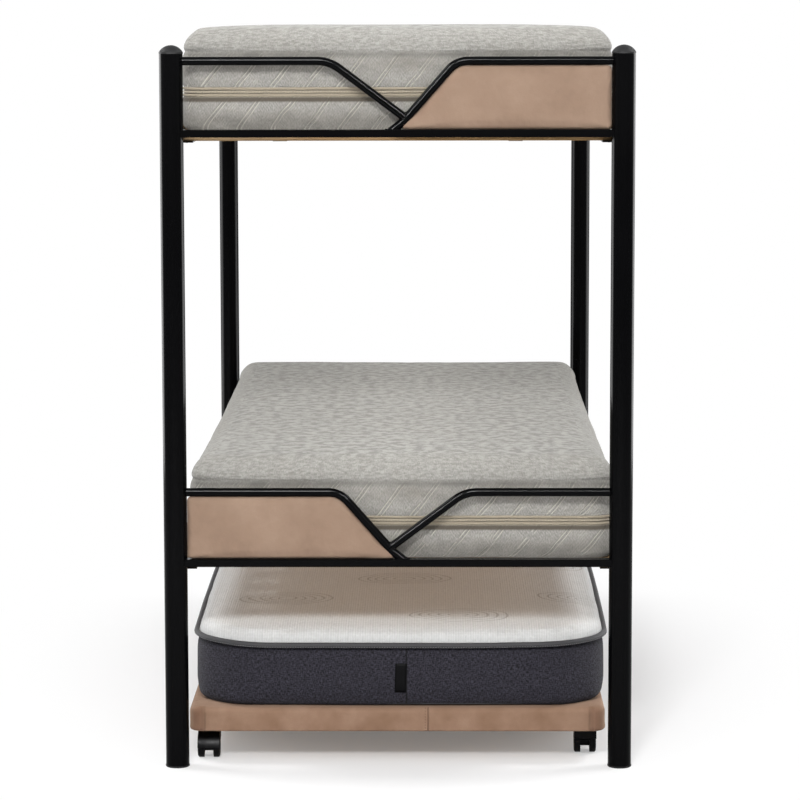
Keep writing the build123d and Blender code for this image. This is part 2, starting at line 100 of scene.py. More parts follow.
def start_material(name, **sockets):
    """A material with one Principled shader, whose sockets are filled by name."""
    material = bpy.data.materials.new(name)
    material.use_nodes = True
    tree = material.node_tree
    tree.nodes.clear()
    shader = add(tree, "ShaderNodeBsdfPrincipled", {key.replace("_", " "): value for key, value in sockets.items()})
    add(tree, "ShaderNodeOutputMaterial", {"Surface": shader.outputs[0]})
    return material, tree, shader


def make_piece(name, points, faces=(), material=None, edges=()):
    """A mesh object from points and faces or edges, linked to the scene."""
    mesh = bpy.data.meshes.new(name)
    mesh.from_pydata([tuple(point) for point in points], list(edges), list(faces))
    if faces:
        mesh.materials.append(material)
        mesh.shade_smooth()
    piece = bpy.data.objects.new(name, mesh)
    scene.collection.objects.link(piece)
    return piece


def settle(piece):
    """Turns what a piece's modifiers make into its own plain mesh, and removes the modifiers."""
    graph = bpy.context.evaluated_depsgraph_get()
    mesh = bpy.data.meshes.new_from_object(piece.evaluated_get(graph), depsgraph=graph)
    piece.modifiers.clear()
    piece.data = mesh
    return piece


def outward(piece):
    """Makes every face of a closed piece point out."""
    work = bmesh.new()
    work.from_mesh(piece.data)
    bmesh.ops.recalc_face_normals(work, faces=work.faces)
    work.to_mesh(piece.data)
    work.free()
    return piece


print("black", linear("0B0B0D")[:3])

# %% [markdown]
# ## The camera
#
# The photograph was taken from the foot of the bed, nearly straight on, a little above the top of it and
# looking slightly down. A long lens from almost seven metres away keeps the posts nearly parallel.

# %% Camera
camera = bpy.data.objects.new("camera", bpy.data.cameras.new("camera"))
scene.collection.objects.link(camera)
scene.camera = camera
yaw, pitch, roll = (math.radians(angle) for angle in (-0.52, 6.99, -0.09))
ahead = Vector((math.sin(yaw) * math.cos(pitch), math.cos(yaw) * math.cos(pitch), -math.sin(pitch)))
level_right = Vector((math.cos(yaw), -math.sin(yaw), 0))
level_up = level_right.cross(ahead)
right = level_right * math.cos(roll) + level_up * math.sin(roll)
up = level_up * math.cos(roll) - level_right * math.sin(roll)
turn = Matrix((right, up, -ahead)).transposed()
camera.matrix_world = Matrix.Translation((0.067, -7.848, 1.636)) @ turn.to_4x4()
camera.data.lens = 146.8
camera.data.clip_end = 60
print("camera at", camera.matrix_world.translation[:], "with a", round(camera.data.lens, 1), "mm lens")

# %% [markdown]
# ## Studio
#
# A pale floor and a white world make the white surround of the photograph. Only rays that come straight
# from the camera, or off a glossy surface, see the world at full white; for lighting it is an even fill.
# The main light is a small softbox in front and above, which draws the edge of the middle bunk's shadow
# across the roll-out mattress. Two soft lamps light the tops of the beds from the sides, and a weak warm one
# under the middle bunk stands for the light that the room's walls would send in there. Gloss black shows
# little else than reflections, so the last lamps are seen only in reflections: two large ones behind draw
# the pale edges of the posts, and three narrow ones in front the thin bright lines along the bars. The two
# outer ones of these stand on end, leaning in, so that every slanting bar mirrors a piece of one of them.

# %% Floor, world and lamps
world = bpy.data.worlds.new("studio")
scene.world = world
world.use_nodes = True
world.node_tree.nodes.clear()
tree = world.node_tree
path = add(tree, "ShaderNodeLightPath")
seen = add(tree, "ShaderNodeMath", {0: path.outputs["Is Camera Ray"], 1: path.outputs["Is Glossy Ray"]},
           operation="MAXIMUM")
seen = add(tree, "ShaderNodeMath", {0: seen.outputs[0], 1: path.outputs["Is Transmission Ray"]}, operation="MAXIMUM")
strength = add(tree, "ShaderNodeMapRange", {"Value": seen.outputs[0], "To Min": 0.62, "To Max": 1.0})
light = add(tree, "ShaderNodeBackground", {"Color": linear("FFFFFF"), "Strength": strength.outputs[0]})
add(tree, "ShaderNodeOutputWorld", {"Surface": light.outputs[0]})

floor_paint, tree, shader = start_material("white_studio_floor", Roughness=0.9, Specular_IOR_Level=0.1)
shader.inputs["Base Color"].default_value = (0.72, 0.72, 0.725, 1)
path = add(tree, "ShaderNodeLightPath")
glow = add(tree, "ShaderNodeEmission", {"Color": (1, 1, 1, 1), "Strength": 0.15})
lit = add(tree, "ShaderNodeAddShader", {0: shader.outputs[0], 1: glow.outputs[0]})
white = add(tree, "ShaderNodeEmission", {"Color": (1, 1, 1, 1), "Strength": 1.0})
place = add(tree, "ShaderNodeTexCoord").outputs["Object"]
ground = add(tree, "ShaderNodeMapping", {"Vector": place, "Scale": (1, 0.62, 1)})
away = add(tree, "ShaderNodeVectorMath", {0: ground.outputs[0]}, operation="LENGTH").outputs["Value"]
fade = add(tree, "ShaderNodeMapRange", {"Value": away, "From Min": 0.45, "From Max": 1.2},
           interpolation_type="SMOOTHSTEP")
lit = add(tree, "ShaderNodeMixShader", {0: fade.outputs[0], 1: lit.outputs[0], 2: white.outputs[0]})
mix = add(tree, "ShaderNodeMixShader", {0: path.outputs["Is Camera Ray"], 1: shader.outputs[0], 2: lit.outputs[0]})
tree.links.new(mix.outputs[0], tree.nodes["Material Output"].inputs["Surface"])
half = 30
floor = make_piece("floor", [(-half, -half, 0), (half, -half, 0), (half, half, 0), (-half, half, 0)], [(0, 1, 2, 3)],
                   floor_paint)


def soft_light(name, place, target, size, power):
    """A square area lamp that faces a point."""
    lamp = bpy.data.objects.new(name, bpy.data.lights.new(name, "AREA"))
    scene.collection.objects.link(lamp)
    lamp.data.shape = "SQUARE"
    lamp.data.size = size
    lamp.data.energy = power
    toward = Vector(target) - Vector(place)
    lamp.matrix_world = Matrix.Translation(place) @ toward.to_track_quat("-Z", "Y").to_matrix().to_4x4()
    return lamp


soft_light("front_light", (-0.5, -6.5, 4.3), (0, -0.8, 0.6), 1.1, 295)
soft_light("high_light", (-0.5, -4.6, 6.0), (0, -0.5, 0.6), 1.5, 30)
soft_light("left_light", (-4.0, 0.4, 5.0), (0, 0, 0.6), 1.8, 150)
soft_light("right_light", (4.0, 0.4, 5.0), (0, 0, 0.6), 1.8, 150)
under = soft_light("under_light", (0, 0, 0.405), (0, 0, 0), 0.84, 1.0)
under.data.shape, under.data.size_y, under.data.color = "RECTANGLE", 1.7, linear("FFE3CC")[:3]
for name, side in (("left_rim_light", -1), ("right_rim_light", 1)):
    rim = soft_light(name, (4.0 * side, 1.6, 1.4), (0, -0.3, 1.0), 2.8, 170)
    rim.visible_diffuse = False
for name, place, long, short, power, slant in (
    ("left_streak_light", (-2.45, -5.6, 3.6), 1.95, 0.2, 550, 64),
    ("right_streak_light", (2.45, -5.6, 3.6), 1.95, 0.2, 480, -64),
    ("level_streak_light", (0, -5.6, 4.4), 2.0, 0.2, 300, 0),
):
    streak = soft_light(name, place, (0, -0.97, 0.95), long, power)
    streak.data.shape, streak.data.size_y = "RECTANGLE", short
    streak.matrix_world = streak.matrix_world @ Matrix.Rotation(math.radians(slant), 4, "Z")
    streak.visible_diffuse = False

# %% [markdown]
# ## Black powder coat and moulded plastic
#
# The posts, bars and rails are steel tube under a gloss black powder coat. Baked powder flows out almost
# smooth, with a faint orange peel a few millimetres wide that breaks the highlights up. The caps and feet
# are moulded polypropylene with a fine matt grain, the casters smooth nylon.

# %% Steel and plastics
def calc(tree, operation, *values):
    """The result of a maths node."""
    return add(tree, "ShaderNodeMath", dict(enumerate(values)), operation=operation).outputs[0]


def pattern_noise(tree, size, detail=2.0, where=None, roughness=0.5):
    """Noise whose lumps are about the given size in metres, on the piece's own coordinates."""
    where = where or add(tree, "ShaderNodeTexCoord").outputs["Object"]
    values = {"Vector": where, "Scale": 1 / size, "Detail": detail, "Roughness": roughness}
    return add(tree, "ShaderNodeTexNoise", values)


def blend_colours(tree, factor, first, second):
    """A mix of two colours, each an sRGB hex value or a socket."""
    ends = [linear(colour) if isinstance(colour, str) else colour for colour in (first, second)]
    return add(tree, "ShaderNodeMix", {0: factor, 6: ends[0], 7: ends[1]}, data_type="RGBA").outputs[2]


def relief(tree, shader, height, depth):
    """Bumps the surface by a height pattern whose full range is depth metres."""
    bump = add(tree, "ShaderNodeBump", {"Height": height, "Distance": depth, "Strength": 1.0})
    before = [link for link in shader.inputs["Normal"].links]
    if before:
        tree.links.new(before[0].from_socket, bump.inputs["Normal"])
    tree.links.new(bump.outputs[0], shader.inputs["Normal"])


def span(tree, value, low, high, to_low=0.0, to_high=1.0):
    """A value rescaled from one range to another, and clamped there."""
    return add(tree, "ShaderNodeMapRange", {
        "Value": value, "From Min": low, "From Max": high, "To Min": to_low, "To Max": to_high,
    }).outputs[0]


def times(tree, *factors):
    """The product of several values."""
    product = factors[0]
    for factor in factors[1:]:
        product = calc(tree, "MULTIPLY", product, factor)
    return product


def layer(tree, colour, *coats):
    """Coats over a colour, each given as its own colour and the factors of its strength."""
    for coat, *factors in coats:
        colour = blend_colours(tree, times(tree, *factors), colour, coat)
    return colour


def mottled(name, size, detail, dark, pale, rough=None, depth=0.0, **sockets):
    """A finish whose colour, and where asked roughness and relief, follow one noise."""
    material, tree, shader = start_material(name, **sockets)
    grain = pattern_noise(tree, size, detail).outputs[0]
    tree.links.new(blend_colours(tree, grain, dark, pale), shader.inputs["Base Color"])
    if rough:
        tree.links.new(span(tree, grain, 0.3, 0.7, *rough), shader.inputs["Roughness"])
    if depth:
        relief(tree, shader, grain, depth)
    return material


powder_coat, tree, shader = start_material("gloss_black_powder_coat", IOR=1.13)
peel = pattern_noise(tree, 4 * mm, 1.0)
tone = pattern_noise(tree, 180 * mm, 2.0)
tree.links.new(blend_colours(tree, tone.outputs[0], "030304", "060607"), shader.inputs["Base Color"])
tree.links.new(span(tree, tone.outputs[0], 0.3, 0.7, 0.09, 0.15), shader.inputs["Roughness"])
relief(tree, shader, peel.outputs[0], 0.02 * mm)

polypropylene = mottled("matt_black_polypropylene", 1.2 * mm, 3.0, "121213", "1C1C1D", (0.45, 0.62), 0.12 * mm,
                        IOR=1.25)
nylon = mottled("moulded_black_nylon", 6 * mm, 3.0, "060607", "0C0C0D", (0.32, 0.5), 0.08 * mm, IOR=1.16)
zinc = mottled("zinc_plated_steel", 2.5 * mm, 2.0, "8B8D90", "B3B5B7", (0.28, 0.45), Metallic=1.0)
print("finishes", [material.name for material in bpy.data.materials])

# %% [markdown]
# ## Wood and tape
#
# The slats are planed softwood: long streaks of grain along each board, warmer late wood and a knot here
# and there. Stretching the coordinates makes the streaks, because noise on coordinates squeezed along the
# board comes out long. The timbers inside the roll-out base are sawn and paler.

# %% Softwood and woven tape
def softwood(name, pale, dark, warm, roughness, across):
    """Planed or sawn softwood with its grain along X or Y."""
    material, tree, shader = start_material(name, Specular_IOR_Level=0.15)
    squeeze = (0.06, 1, 1) if across else (1, 0.06, 1)
    plain = add(tree, "ShaderNodeTexCoord").outputs["Object"]
    place = add(tree, "ShaderNodeMapping", {"Vector": plain, "Scale": squeeze})
    streak = pattern_noise(tree, 7 * mm, 4.0, place.outputs[0])
    wide = pattern_noise(tree, 45 * mm, 2.0, place.outputs[0])
    pores = pattern_noise(tree, 1.3 * mm, 2.0, place.outputs[0])
    knots = add(tree, "ShaderNodeTexVoronoi", {"Vector": place.outputs[0], "Scale": 9.0})
    colour = blend_colours(tree, span(tree, streak.outputs[0], 0.35, 0.68), pale, dark)
    colour = layer(tree, colour, (warm, span(tree, wide.outputs[0], 0.5, 0.75)),
                   ("5A3418", span(tree, knots.outputs[0], 0.09, 0.03)))
    tree.links.new(colour, shader.inputs["Base Color"])
    rough = span(tree, streak.outputs[0], 0.3, 0.7, roughness - 0.08, roughness + 0.08)
    tree.links.new(rough, shader.inputs["Roughness"])
    relief(tree, shader, pores.outputs[0], 0.15 * mm)
    return material


slat_pine = softwood("planed_pine", "9F8562", "866C4A", "906D40", 0.5, True)
sawn_pine = softwood("sawn_pine", "D3B48C", "B58E62", "BD9159", 0.8, False)

webbing, tree, shader = start_material("woven_polyester_tape", Roughness=0.85, Sheen_Weight=0.2)
place = add(tree, "ShaderNodeTexCoord").outputs["Object"]
rib_width = 1.6 * mm
rib = add(tree, "ShaderNodeTexWave", {"Vector": place, "Scale": 1 / (math.tau * rib_width)}, bands_direction="Y")
tree.links.new(blend_colours(tree, rib.outputs[1], "6E6E6A", "8F8F8A"), shader.inputs["Base Color"])
relief(tree, shader, rib.outputs[1], 0.3 * mm)
print("wood", slat_pine.name, sawn_pine.name)

# %% [markdown]
# ## Suede
#
# The panels and the base are covered with a short napped suede cloth, a dusty beige pink. The nap lies
# different ways where a hand has brushed it, which shows as broad soft patches a little lighter or
# darker, and it scatters light at a grazing angle, which is what sheen is for.

# %% Suede cloth
def suede_cloth(name, pale, mid, dark):
    """Napped cloth with brushed patches."""
    material, tree, shader = start_material(name, Roughness=0.92, Specular_IOR_Level=0.1, Sheen_Weight=0.35,
                                            Sheen_Roughness=0.45)
    shader.inputs["Sheen Tint"].default_value = linear("E9CDB8")
    patches = pattern_noise(tree, 85 * mm, 3.0, roughness=0.6)
    strokes = pattern_noise(tree, 22 * mm, 3.0, roughness=0.55)
    fibre = pattern_noise(tree, 1.6 * mm, 3.0)
    colour = blend_colours(tree, span(tree, patches.outputs[0], 0.36, 0.66), dark, pale)
    colour = layer(tree, colour, (mid, span(tree, strokes.outputs[0], 0.35, 0.7, 0.0, 0.55)),
                   (dark, span(tree, fibre.outputs[0], 0.35, 0.7, 0.0, 0.22)))
    tree.links.new(colour, shader.inputs["Base Color"])
    relief(tree, shader, fibre.outputs[0], 0.35 * mm)
    relief(tree, shader, strokes.outputs[0], 1.2 * mm)
    return material


panel_suede = suede_cloth("panel_suede", "967F6D", "8F7765", "87705F")
base_suede = suede_cloth("base_suede", "947865", "886C58", "7D614D")
print("suede", panel_suede.name, base_suede.name)

# %% [markdown]
# The base's cover is sewn from strips: a seam runs down its front, a little right of the middle, with a row
# of stitches beside it, and the cloth is folded where the long sides meet the ends. The folds are dented,
# and they and the corners beyond them are darkened with painted shade.

# %% Seam and corner folds of the base
def close_to(tree, value, place, reach):
    """One at a place along an axis, falling to zero over the reach."""
    return span(tree, calc(tree, "ABSOLUTE", calc(tree, "SUBTRACT", value, place)), reach, reach * 0.35)


tree = base_suede.node_tree
shader = tree.nodes["Principled BSDF"]
axes = add(tree, "ShaderNodeSeparateXYZ", {0: add(tree, "ShaderNodeTexCoord").outputs["Object"]})
x = calc(tree, "ADD", axes.outputs[0], 3 * mm)
y, z = axes.outputs[1], axes.outputs[2]
from_middle = calc(tree, "ABSOLUTE", x)
at_end = span(tree, calc(tree, "ABSOLUTE", y), 0.925, 0.932)
# painted shade: the folds and the corners beyond them are darkened; the folds are also dented
fold_and_painted_shade = times(tree, close_to(tree, from_middle, 0.420, 7 * mm), at_end)
corner = times(tree, span(tree, from_middle, 0.418, 0.428), at_end)
seam = times(tree, close_to(tree, x, 0.067, 2.4 * mm), span(tree, y, -0.925, -0.932))
stitch_step = calc(tree, "PINGPONG", z, 3 * mm)
stitch_line = times(tree, close_to(tree, x, 0.061, 1.8 * mm), span(tree, y, -0.925, -0.932),
                    span(tree, stitch_step, 0.8 * mm, 1.6 * mm))
colour = layer(tree, shader.inputs["Base Color"].links[0].from_socket, ("6A4434", corner, 0.3),
               ("5C3E31", fold_and_painted_shade, 0.28), ("5C4233", seam, 0.6), ("5C4233", stitch_line, 0.45))
tree.links.new(colour, shader.inputs["Base Color"])
relief(tree, shader, fold_and_painted_shade, -2.0 * mm)
relief(tree, shader, seam, -1.5 * mm)
print("base suede has", len(tree.nodes), "nodes")

# %% [markdown]
# ## Frame finishes
#
# The steel, plastic, wood and tape nodes of the CAD model have the right shape already, so each keeps its
# mesh and only gets its finish.

# %% Dress the CAD nodes
finishes = {
    "_post": powder_coat, "_lower_rail": powder_coat, "_long_bar": powder_coat, "_short_bar": powder_coat,
    "_side_rail": powder_coat, "_rail_brackets": powder_coat, "post_caps": polypropylene, "post_feet": polypropylene,
    "_slats": slat_pine, "base_timbers": sawn_pine, "base_deck": sawn_pine, "slat_tapes": webbing,
    "caster_stems": zinc, "_caster_axle": zinc, "_caster_housing": nylon, "_caster_wheel_a": nylon,
    "_caster_wheel_b": nylon,
}
for name, node in nodes.items():
    for ending, material in finishes.items():
        if name.endswith(ending):
            node.data.materials.clear()
            node.data.materials.append(material)
print("dressed", sum(any(name.endswith(ending) for ending in finishes) for name in nodes), "of", len(nodes))

# %% [markdown]
# ## A body for soft pieces
#
# A mattress is a box with round corners whose walls follow a profile: a soft lower edge, upright sides,
# a rounded upper edge and a slight crown. The body is one closed grid of nearly square cells, so that it
# can be blown up like cloth later, and it carries a UV map in metres: along the wall the map follows the
# rim, and it runs on over the front edge without a break, as the fabric does.

# %% The padded body
def round_corner(x, y, half_x, half_y, corner):
    """Moves a point of a rectangular grid so that the grid's corners become round."""
    over_x, over_y = abs(x) - (half_x - corner), abs(y) - (half_y - corner)
    if over_x > 0 and over_y > 0:
        shrink = max(over_x, over_y) / math.hypot(over_x, over_y)
        x = math.copysign(half_x - corner + over_x * shrink, x)
        y = math.copysign(half_y - corner + over_y * shrink, y)
    return x, y


def plan_point(x, y, size, inset, corner, bow):
    """A point of the plan grid, given from -1 to 1, in a plan drawn in by the inset, its sides bowed in."""
    half_x, half_y = size[0] / 2 - inset, size[1] / 2 - inset
    px, py = round_corner(x * half_x, y * half_y, half_x, half_y, max(corner - inset, corner / 4))
    px -= x * bow * (1 - y * y) * abs(x)
    py -= y * bow * (1 - x * x) * abs(y)
    return px, py


def soft_body(name, size, rows, corner, bow, place, cell, material, crown=0.0, floor_corner=None):
    """A closed body whose wall goes through rows of height and inset, with a crowned top.

    The corners may be less round at the bottom than at the top.
    """
    floor_corner = floor_corner or corner
    lowest, highest = rows[0][0], rows[-1][0]
    nx, ny = max(2, round(size[0] / cell)), max(2, round(size[1] / cell))
    rim = [(i, 0) for i in range(nx)] + [(nx, j) for j in range(ny)]
    rim += [(nx - i, ny) for i in range(nx)] + [(0, ny - j) for j in range(ny)]
    points, faces, maps = [], [], []

    def grid_xy(i, j, inset, height):
        share = (height - lowest) / (highest - lowest)
        here = floor_corner + (corner - floor_corner) * share
        return plan_point(2 * i / nx - 1, 2 * j / ny - 1, size, inset, here, bow)

    def dome(i, j):
        x, y = 2 * i / nx - 1, 2 * j / ny - 1
        edge = min(1 - abs(x), (1 - abs(y)) * size[1] / size[0])
        return 1 - (1 - min(1, edge / 0.4)) ** 2

    lids = []
    for height, inset, rise in ((rows[0][0], rows[0][1], 0), (rows[-1][0], rows[-1][1], crown)):
        lid = {}
        for j in range(ny + 1):
            for i in range(nx + 1):
                x, y = grid_xy(i, j, inset, height)
                lid[i, j] = len(points)
                points.append((x + place[0], y + place[1], height + place[2] + rise * dome(i, j)))
        lids.append(lid)
    rings = [[lids[0][at] for at in rim]]
    for height, inset in rows[1:-1]:
        ring = []
        for i, j in rim:
            x, y = grid_xy(i, j, inset, height)
            ring.append(len(points))
            points.append((x + place[0], y + place[1], height + place[2]))
        rings.append(ring)
    rings.append([lids[1][at] for at in rim])

    along = [0.0]
    outer = [grid_xy(i, j, 0, highest) for i, j in rim]
    for a, b in zip(outer, outer[1:] + outer[:1]):
        along.append(along[-1] + math.dist(a, b))
    along = [value - size[0] / 2 for value in along]
    rise = [0.0]
    for a, b in zip(rows, rows[1:]):
        rise.append(rise[-1] + math.dist(a, b))
    for k in range(len(rings) - 1):
        for m in range(len(rim)):
            n = (m + 1) % len(rim)
            faces.append((rings[k][m], rings[k][n], rings[k + 1][n], rings[k + 1][m]))
            left, right = along[m], along[m + 1]
            maps.append([(left, rise[k]), (right, rise[k]), (right, rise[k + 1]), (left, rise[k + 1])])
    for lid, flip in ((lids[0], True), (lids[1], False)):
        for j in range(ny):
            for i in range(nx):
                face = [lid[i, j], lid[i + 1, j], lid[i + 1, j + 1], lid[i, j + 1]]
                face = face[::-1] if flip else face
                faces.append(tuple(face))
                front = size[1] / 2 + rise[-1] + place[1]
                maps.append([(points[v][0] - place[0], points[v][1] - place[1] + front - place[1]) for v in face])
    piece = make_piece(name, points, faces, material)
    cloth_uv = piece.data.uv_layers.new(name="cloth")
    for face, corners in zip(piece.data.polygons, maps):
        for loop, value in zip(face.loop_indices, corners):
            cloth_uv.data[loop].uv = value
    return piece, rings


def arc_rows(centre_height, radius, first, last, steps):
    """Rows of height and inset round an edge, between two angles in degrees; 0 is the wall, 90 the top."""
    for step in range(steps + 1):
        angle = math.radians(first + (last - first) * step / steps)
        yield centre_height + radius * math.sin(angle), radius * (1 - math.cos(angle))


def wall_rows(low, high, steps, inset=0.0):
    """Rows up an upright wall, without its two ends."""
    return [(low + (high - low) * step / steps, inset) for step in range(1, steps)]


print("soft bodies are ready")

# %% [markdown]
# ## Air for the cloth
#
# Real covers are tight over the filling at their seams and a little loose between them. A short cloth
# simulation gives that: the seams are pinned, the fabric is allowed to grow a touch, and air pressure
# from inside pushes it out. After twenty frames each point is held to within a few millimetres of where
# it started, and one subdivision smooths the result.

# %% Puff
def puff(piece, pinned, pressure, cap, growth=0.01, frames=20):
    """Blows a closed body up for a moment. Pinned points stay, and no point moves further than the cap."""
    start = [vertex.co.copy() for vertex in piece.data.vertices]
    group = piece.vertex_groups.new(name="sewn")
    group.add(sorted(pinned), 1.0, "REPLACE")
    cloth = piece.modifiers.new("Cloth", "CLOTH")
    cloth.settings.vertex_group_mass = "sewn"
    cloth.settings.use_pressure = True
    cloth.settings.uniform_pressure_force = pressure
    cloth.settings.effector_weights.gravity = 0
    cloth.settings.shrink_min = -growth
    cloth.settings.quality = 3
    for number in range(1, frames + 1):
        scene.frame_set(number)
    settle(piece)
    scene.frame_set(1)
    moves = []
    for vertex, first in zip(piece.data.vertices, start):
        move = vertex.co - first
        moves.append(move.length)
        if move.length > cap:
            vertex.co = first + move * (cap / move.length)
    mean, most = sum(moves) / len(moves), max(moves)
    print(piece.name, "moved", round(mean / mm, 1), "mm on average, most", round(most / mm, 1))
    piece.vertex_groups.clear()
    smooth = piece.modifiers.new("Smooth", "SUBSURF")
    smooth.levels = smooth.render_levels = 1
    return settle(piece)


print("simulation", "on")

# %% [markdown]
# ## Grey quilted fabric
#
# The two fixed mattresses wear a thick grey melange knit. On the sides, pale double threads cross it on the
# slant, 57 mm apart, and quilt it into diamonds. The top is a softer panel that wraps over the edge, and
# ends in a crease 45 mm down: its puffed quilting shows as short dashes across the bed, bumps with painted
# shade on them. All of it follows the UV map, whose second coordinate is the height up the wall and then the
# way along the top, so one range of heights tells the side from the top.

# %% Grey knit
def slanted_threads(tree, u, v, degrees, spacing, width, pair=0.0, aside=0.0):
    """Lines at an angle on the UV map, evenly spaced, each one or a close pair, all moved aside a little."""
    angle = math.radians(degrees)
    across_u = calc(tree, "MULTIPLY_ADD", u, math.sin(angle), aside)
    away = calc(tree, "PINGPONG", calc(tree, "MULTIPLY_ADD", v, -math.cos(angle), across_u), spacing / 2)
    if pair:
        away = calc(tree, "ABSOLUTE", calc(tree, "SUBTRACT", away, pair / 2))
    return span(tree, away, width, width * 0.3)


def window(tree, value, low, high, soft):
    """One between two limits and zero outside them, with soft ends."""
    return times(tree, span(tree, value, low - soft, low + soft), span(tree, value, high + soft, high - soft))


crease_height, zip_height, thread_pitch = 0.182, 0.0925, 57 * mm
grey_knit, tree, shader = start_material("grey_quilted_knit", Roughness=0.9, Specular_IOR_Level=0.1, Sheen_Weight=0.15)
cloth_map = add(tree, "ShaderNodeUVMap", uv_map="cloth").outputs[0]
wobble = pattern_noise(tree, 70 * mm, 1.0, cloth_map)
shift = add(tree, "ShaderNodeVectorMath", {0: wobble.outputs[1], 1: (-0.5, -0.5, -0.5)}, operation="ADD")
shift = add(tree, "ShaderNodeVectorMath", {0: shift.outputs[0], 1: (9 * mm, 9 * mm, 0), 2: cloth_map},
            operation="MULTIPLY_ADD")
axes = add(tree, "ShaderNodeSeparateXYZ", {0: shift.outputs[0]})
u, v = axes.outputs[0], axes.outputs[1]
plain_v = add(tree, "ShaderNodeSeparateXYZ", {0: cloth_map}).outputs[1]
on_side = span(tree, plain_v, crease_height + 0.003, crease_height - 0.006)
on_top = span(tree, plain_v, crease_height - 0.002, crease_height + 0.006)
strong = slanted_threads(tree, u, v, 52, thread_pitch, 1.6 * mm, 7 * mm)
weak = slanted_threads(tree, u, v, -52, thread_pitch, 1.3 * mm, 6 * mm)
# painted shade: a darker line beside each pale double thread, where the thread's relief would cast shade
beside = slanted_threads(tree, u, v, 52, thread_pitch, 3.4 * mm, 7 * mm, 1.9 * mm)
patches = pattern_noise(tree, 38 * mm, 2.0, cloth_map).outputs[0]
strong = times(tree, strong, span(tree, patches, 0.36, 0.46), on_side)
beside = times(tree, beside, span(tree, patches, 0.36, 0.46), on_side)
weak = times(tree, weak, span(tree, patches, 0.6, 0.5), on_side)
fine = slanted_threads(tree, u, v, 52, 5 * mm, 1.6 * mm)
fine_back = slanted_threads(tree, u, v, -52, 5 * mm, 1.6 * mm)
bunches = pattern_noise(tree, 26 * mm, 2.0, cloth_map).outputs[0]
fine = times(tree, fine, span(tree, bunches, 0.48, 0.62), on_side)
fine_back = times(tree, fine_back, span(tree, bunches, 0.52, 0.4), on_side)
print("side pattern ready: threads", round(thread_pitch / mm), "mm apart, crease at", crease_height, "m up the cloth")

# %% [markdown]
# The dashes on the top are lumps of noise. From the foot of the bed the top is seen at a low angle, so
# lumps 25 mm deep look like thin lines, as in the photograph. On the shoulder, which is seen straight on,
# they are finer. The melange is noise drawn out upright, because the yarn's fuzz stands that way there.

# %% Grey knit, colours
lumps = add(tree, "ShaderNodeMapping", {"Vector": cloth_map, "Scale": (0.8, 0.75, 1)})
far_dashes = pattern_noise(tree, 19 * mm, 3.0, lumps.outputs[0], roughness=0.62).outputs[0]
small = add(tree, "ShaderNodeMapping", {"Vector": cloth_map, "Scale": (0.4, 1, 1)})
near_dashes = pattern_noise(tree, 6 * mm, 3.0, small.outputs[0], roughness=0.6).outputs[0]
on_flat = span(tree, plain_v, crease_height + 0.045, crease_height + 0.085)
dashes = add(tree, "ShaderNodeMix", {0: on_flat, 2: near_dashes, 3: far_dashes}).outputs[0]
upright = add(tree, "ShaderNodeMapping", {"Vector": cloth_map, "Scale": (1, 0.4, 1)})
melange = pattern_noise(tree, 2.6 * mm, 3.0, upright.outputs[0], roughness=0.62).outputs[0]
clouds = pattern_noise(tree, 110 * mm, 2.0, cloth_map).outputs[0]
colour = blend_colours(tree, span(tree, melange, 0.36, 0.64), "82807B", "A6A49F")
colour = layer(tree, colour, ("928E86", span(tree, clouds, 0.3, 0.7, 0.0, 0.35)))
# painted shade: the dark part of the dashes stands for the shade of the puffed quilting; the same lumps also bump the
# top
top_colour = blend_colours(tree, span(tree, dashes, 0.4, 0.6), "7B7A75", "B0AFAA")
colour = blend_colours(tree, times(tree, on_top, span(tree, on_flat, 0.0, 1.0, 0.36, 0.64)), colour, top_colour)
# painted shade: a darker band below the crease, under the overhanging top edge
painted_crease_shade = window(tree, plain_v, crease_height - 0.038, crease_height - 0.004, 0.012)
# painted shade: the side is darkened towards its foot, near the slats
at_foot = span(tree, plain_v, 0.062, 0.040)
# painted shade: a dark line in the tuck of the crease
painted_tuck_shade = window(tree, plain_v, crease_height - 0.009, crease_height + 0.001, 0.005)
in_zip = window(tree, plain_v, zip_height - 0.0085, zip_height + 0.0085, 0.001)
# painted shadow: a dark band under the zip
painted_zip_shadow = window(tree, plain_v, zip_height - 0.018, zip_height - 0.008, 0.002)
colour = layer(
    tree, colour, ("BDB9AF", fine, 0.3), ("6C6A66", fine_back, 0.26), ("73716C", beside, 0.4), ("C6C1B7", weak, 0.16),
    ("CDC8BD", strong, 0.7), ("6B665E", painted_crease_shade, span(tree, clouds, 0.35, 0.65, 0.15, 0.5)),
    ("6B665E", at_foot, 0.35), ("6A6863", painted_tuck_shade, span(tree, patches, 0.3, 0.6, 0.4, 0.9)), ("8F8672", in_zip, 0.7),
    ("534C42", painted_zip_shadow, 0.95),
)
tree.links.new(colour, shader.inputs["Base Color"])
relief(tree, shader, melange, 0.7 * mm)
relief(tree, shader, times(tree, dashes, on_top), 3.0 * mm)
relief(tree, shader, strong, 0.9 * mm)
relief(tree, shader, fine, 0.5 * mm)

zip_cloth = mottled("zip_tape", 1.5 * mm, 2.0, "8E8473", "A49A88", depth=0.3 * mm, Roughness=0.8,
                    Specular_IOR_Level=0.1, Sheen_Weight=0.1)
zip_nylon = mottled("zip_coil_nylon", 5 * mm, 2.0, "9C927F", "B4AA98", IOR=1.53, Roughness=0.42)
print("fabric", grey_knit.name, zip_cloth.name, zip_nylon.name)

# %% [markdown]
# ## Trims that follow a rim
#
# A zip, a piping or a row of stitches is one small section repeated or swept along a line. Geometry Nodes
# do that: the tree takes a loop of edges, makes it a curve, and sweeps an oval section along it. The sizes
# are named inputs, so one tree serves every trim.

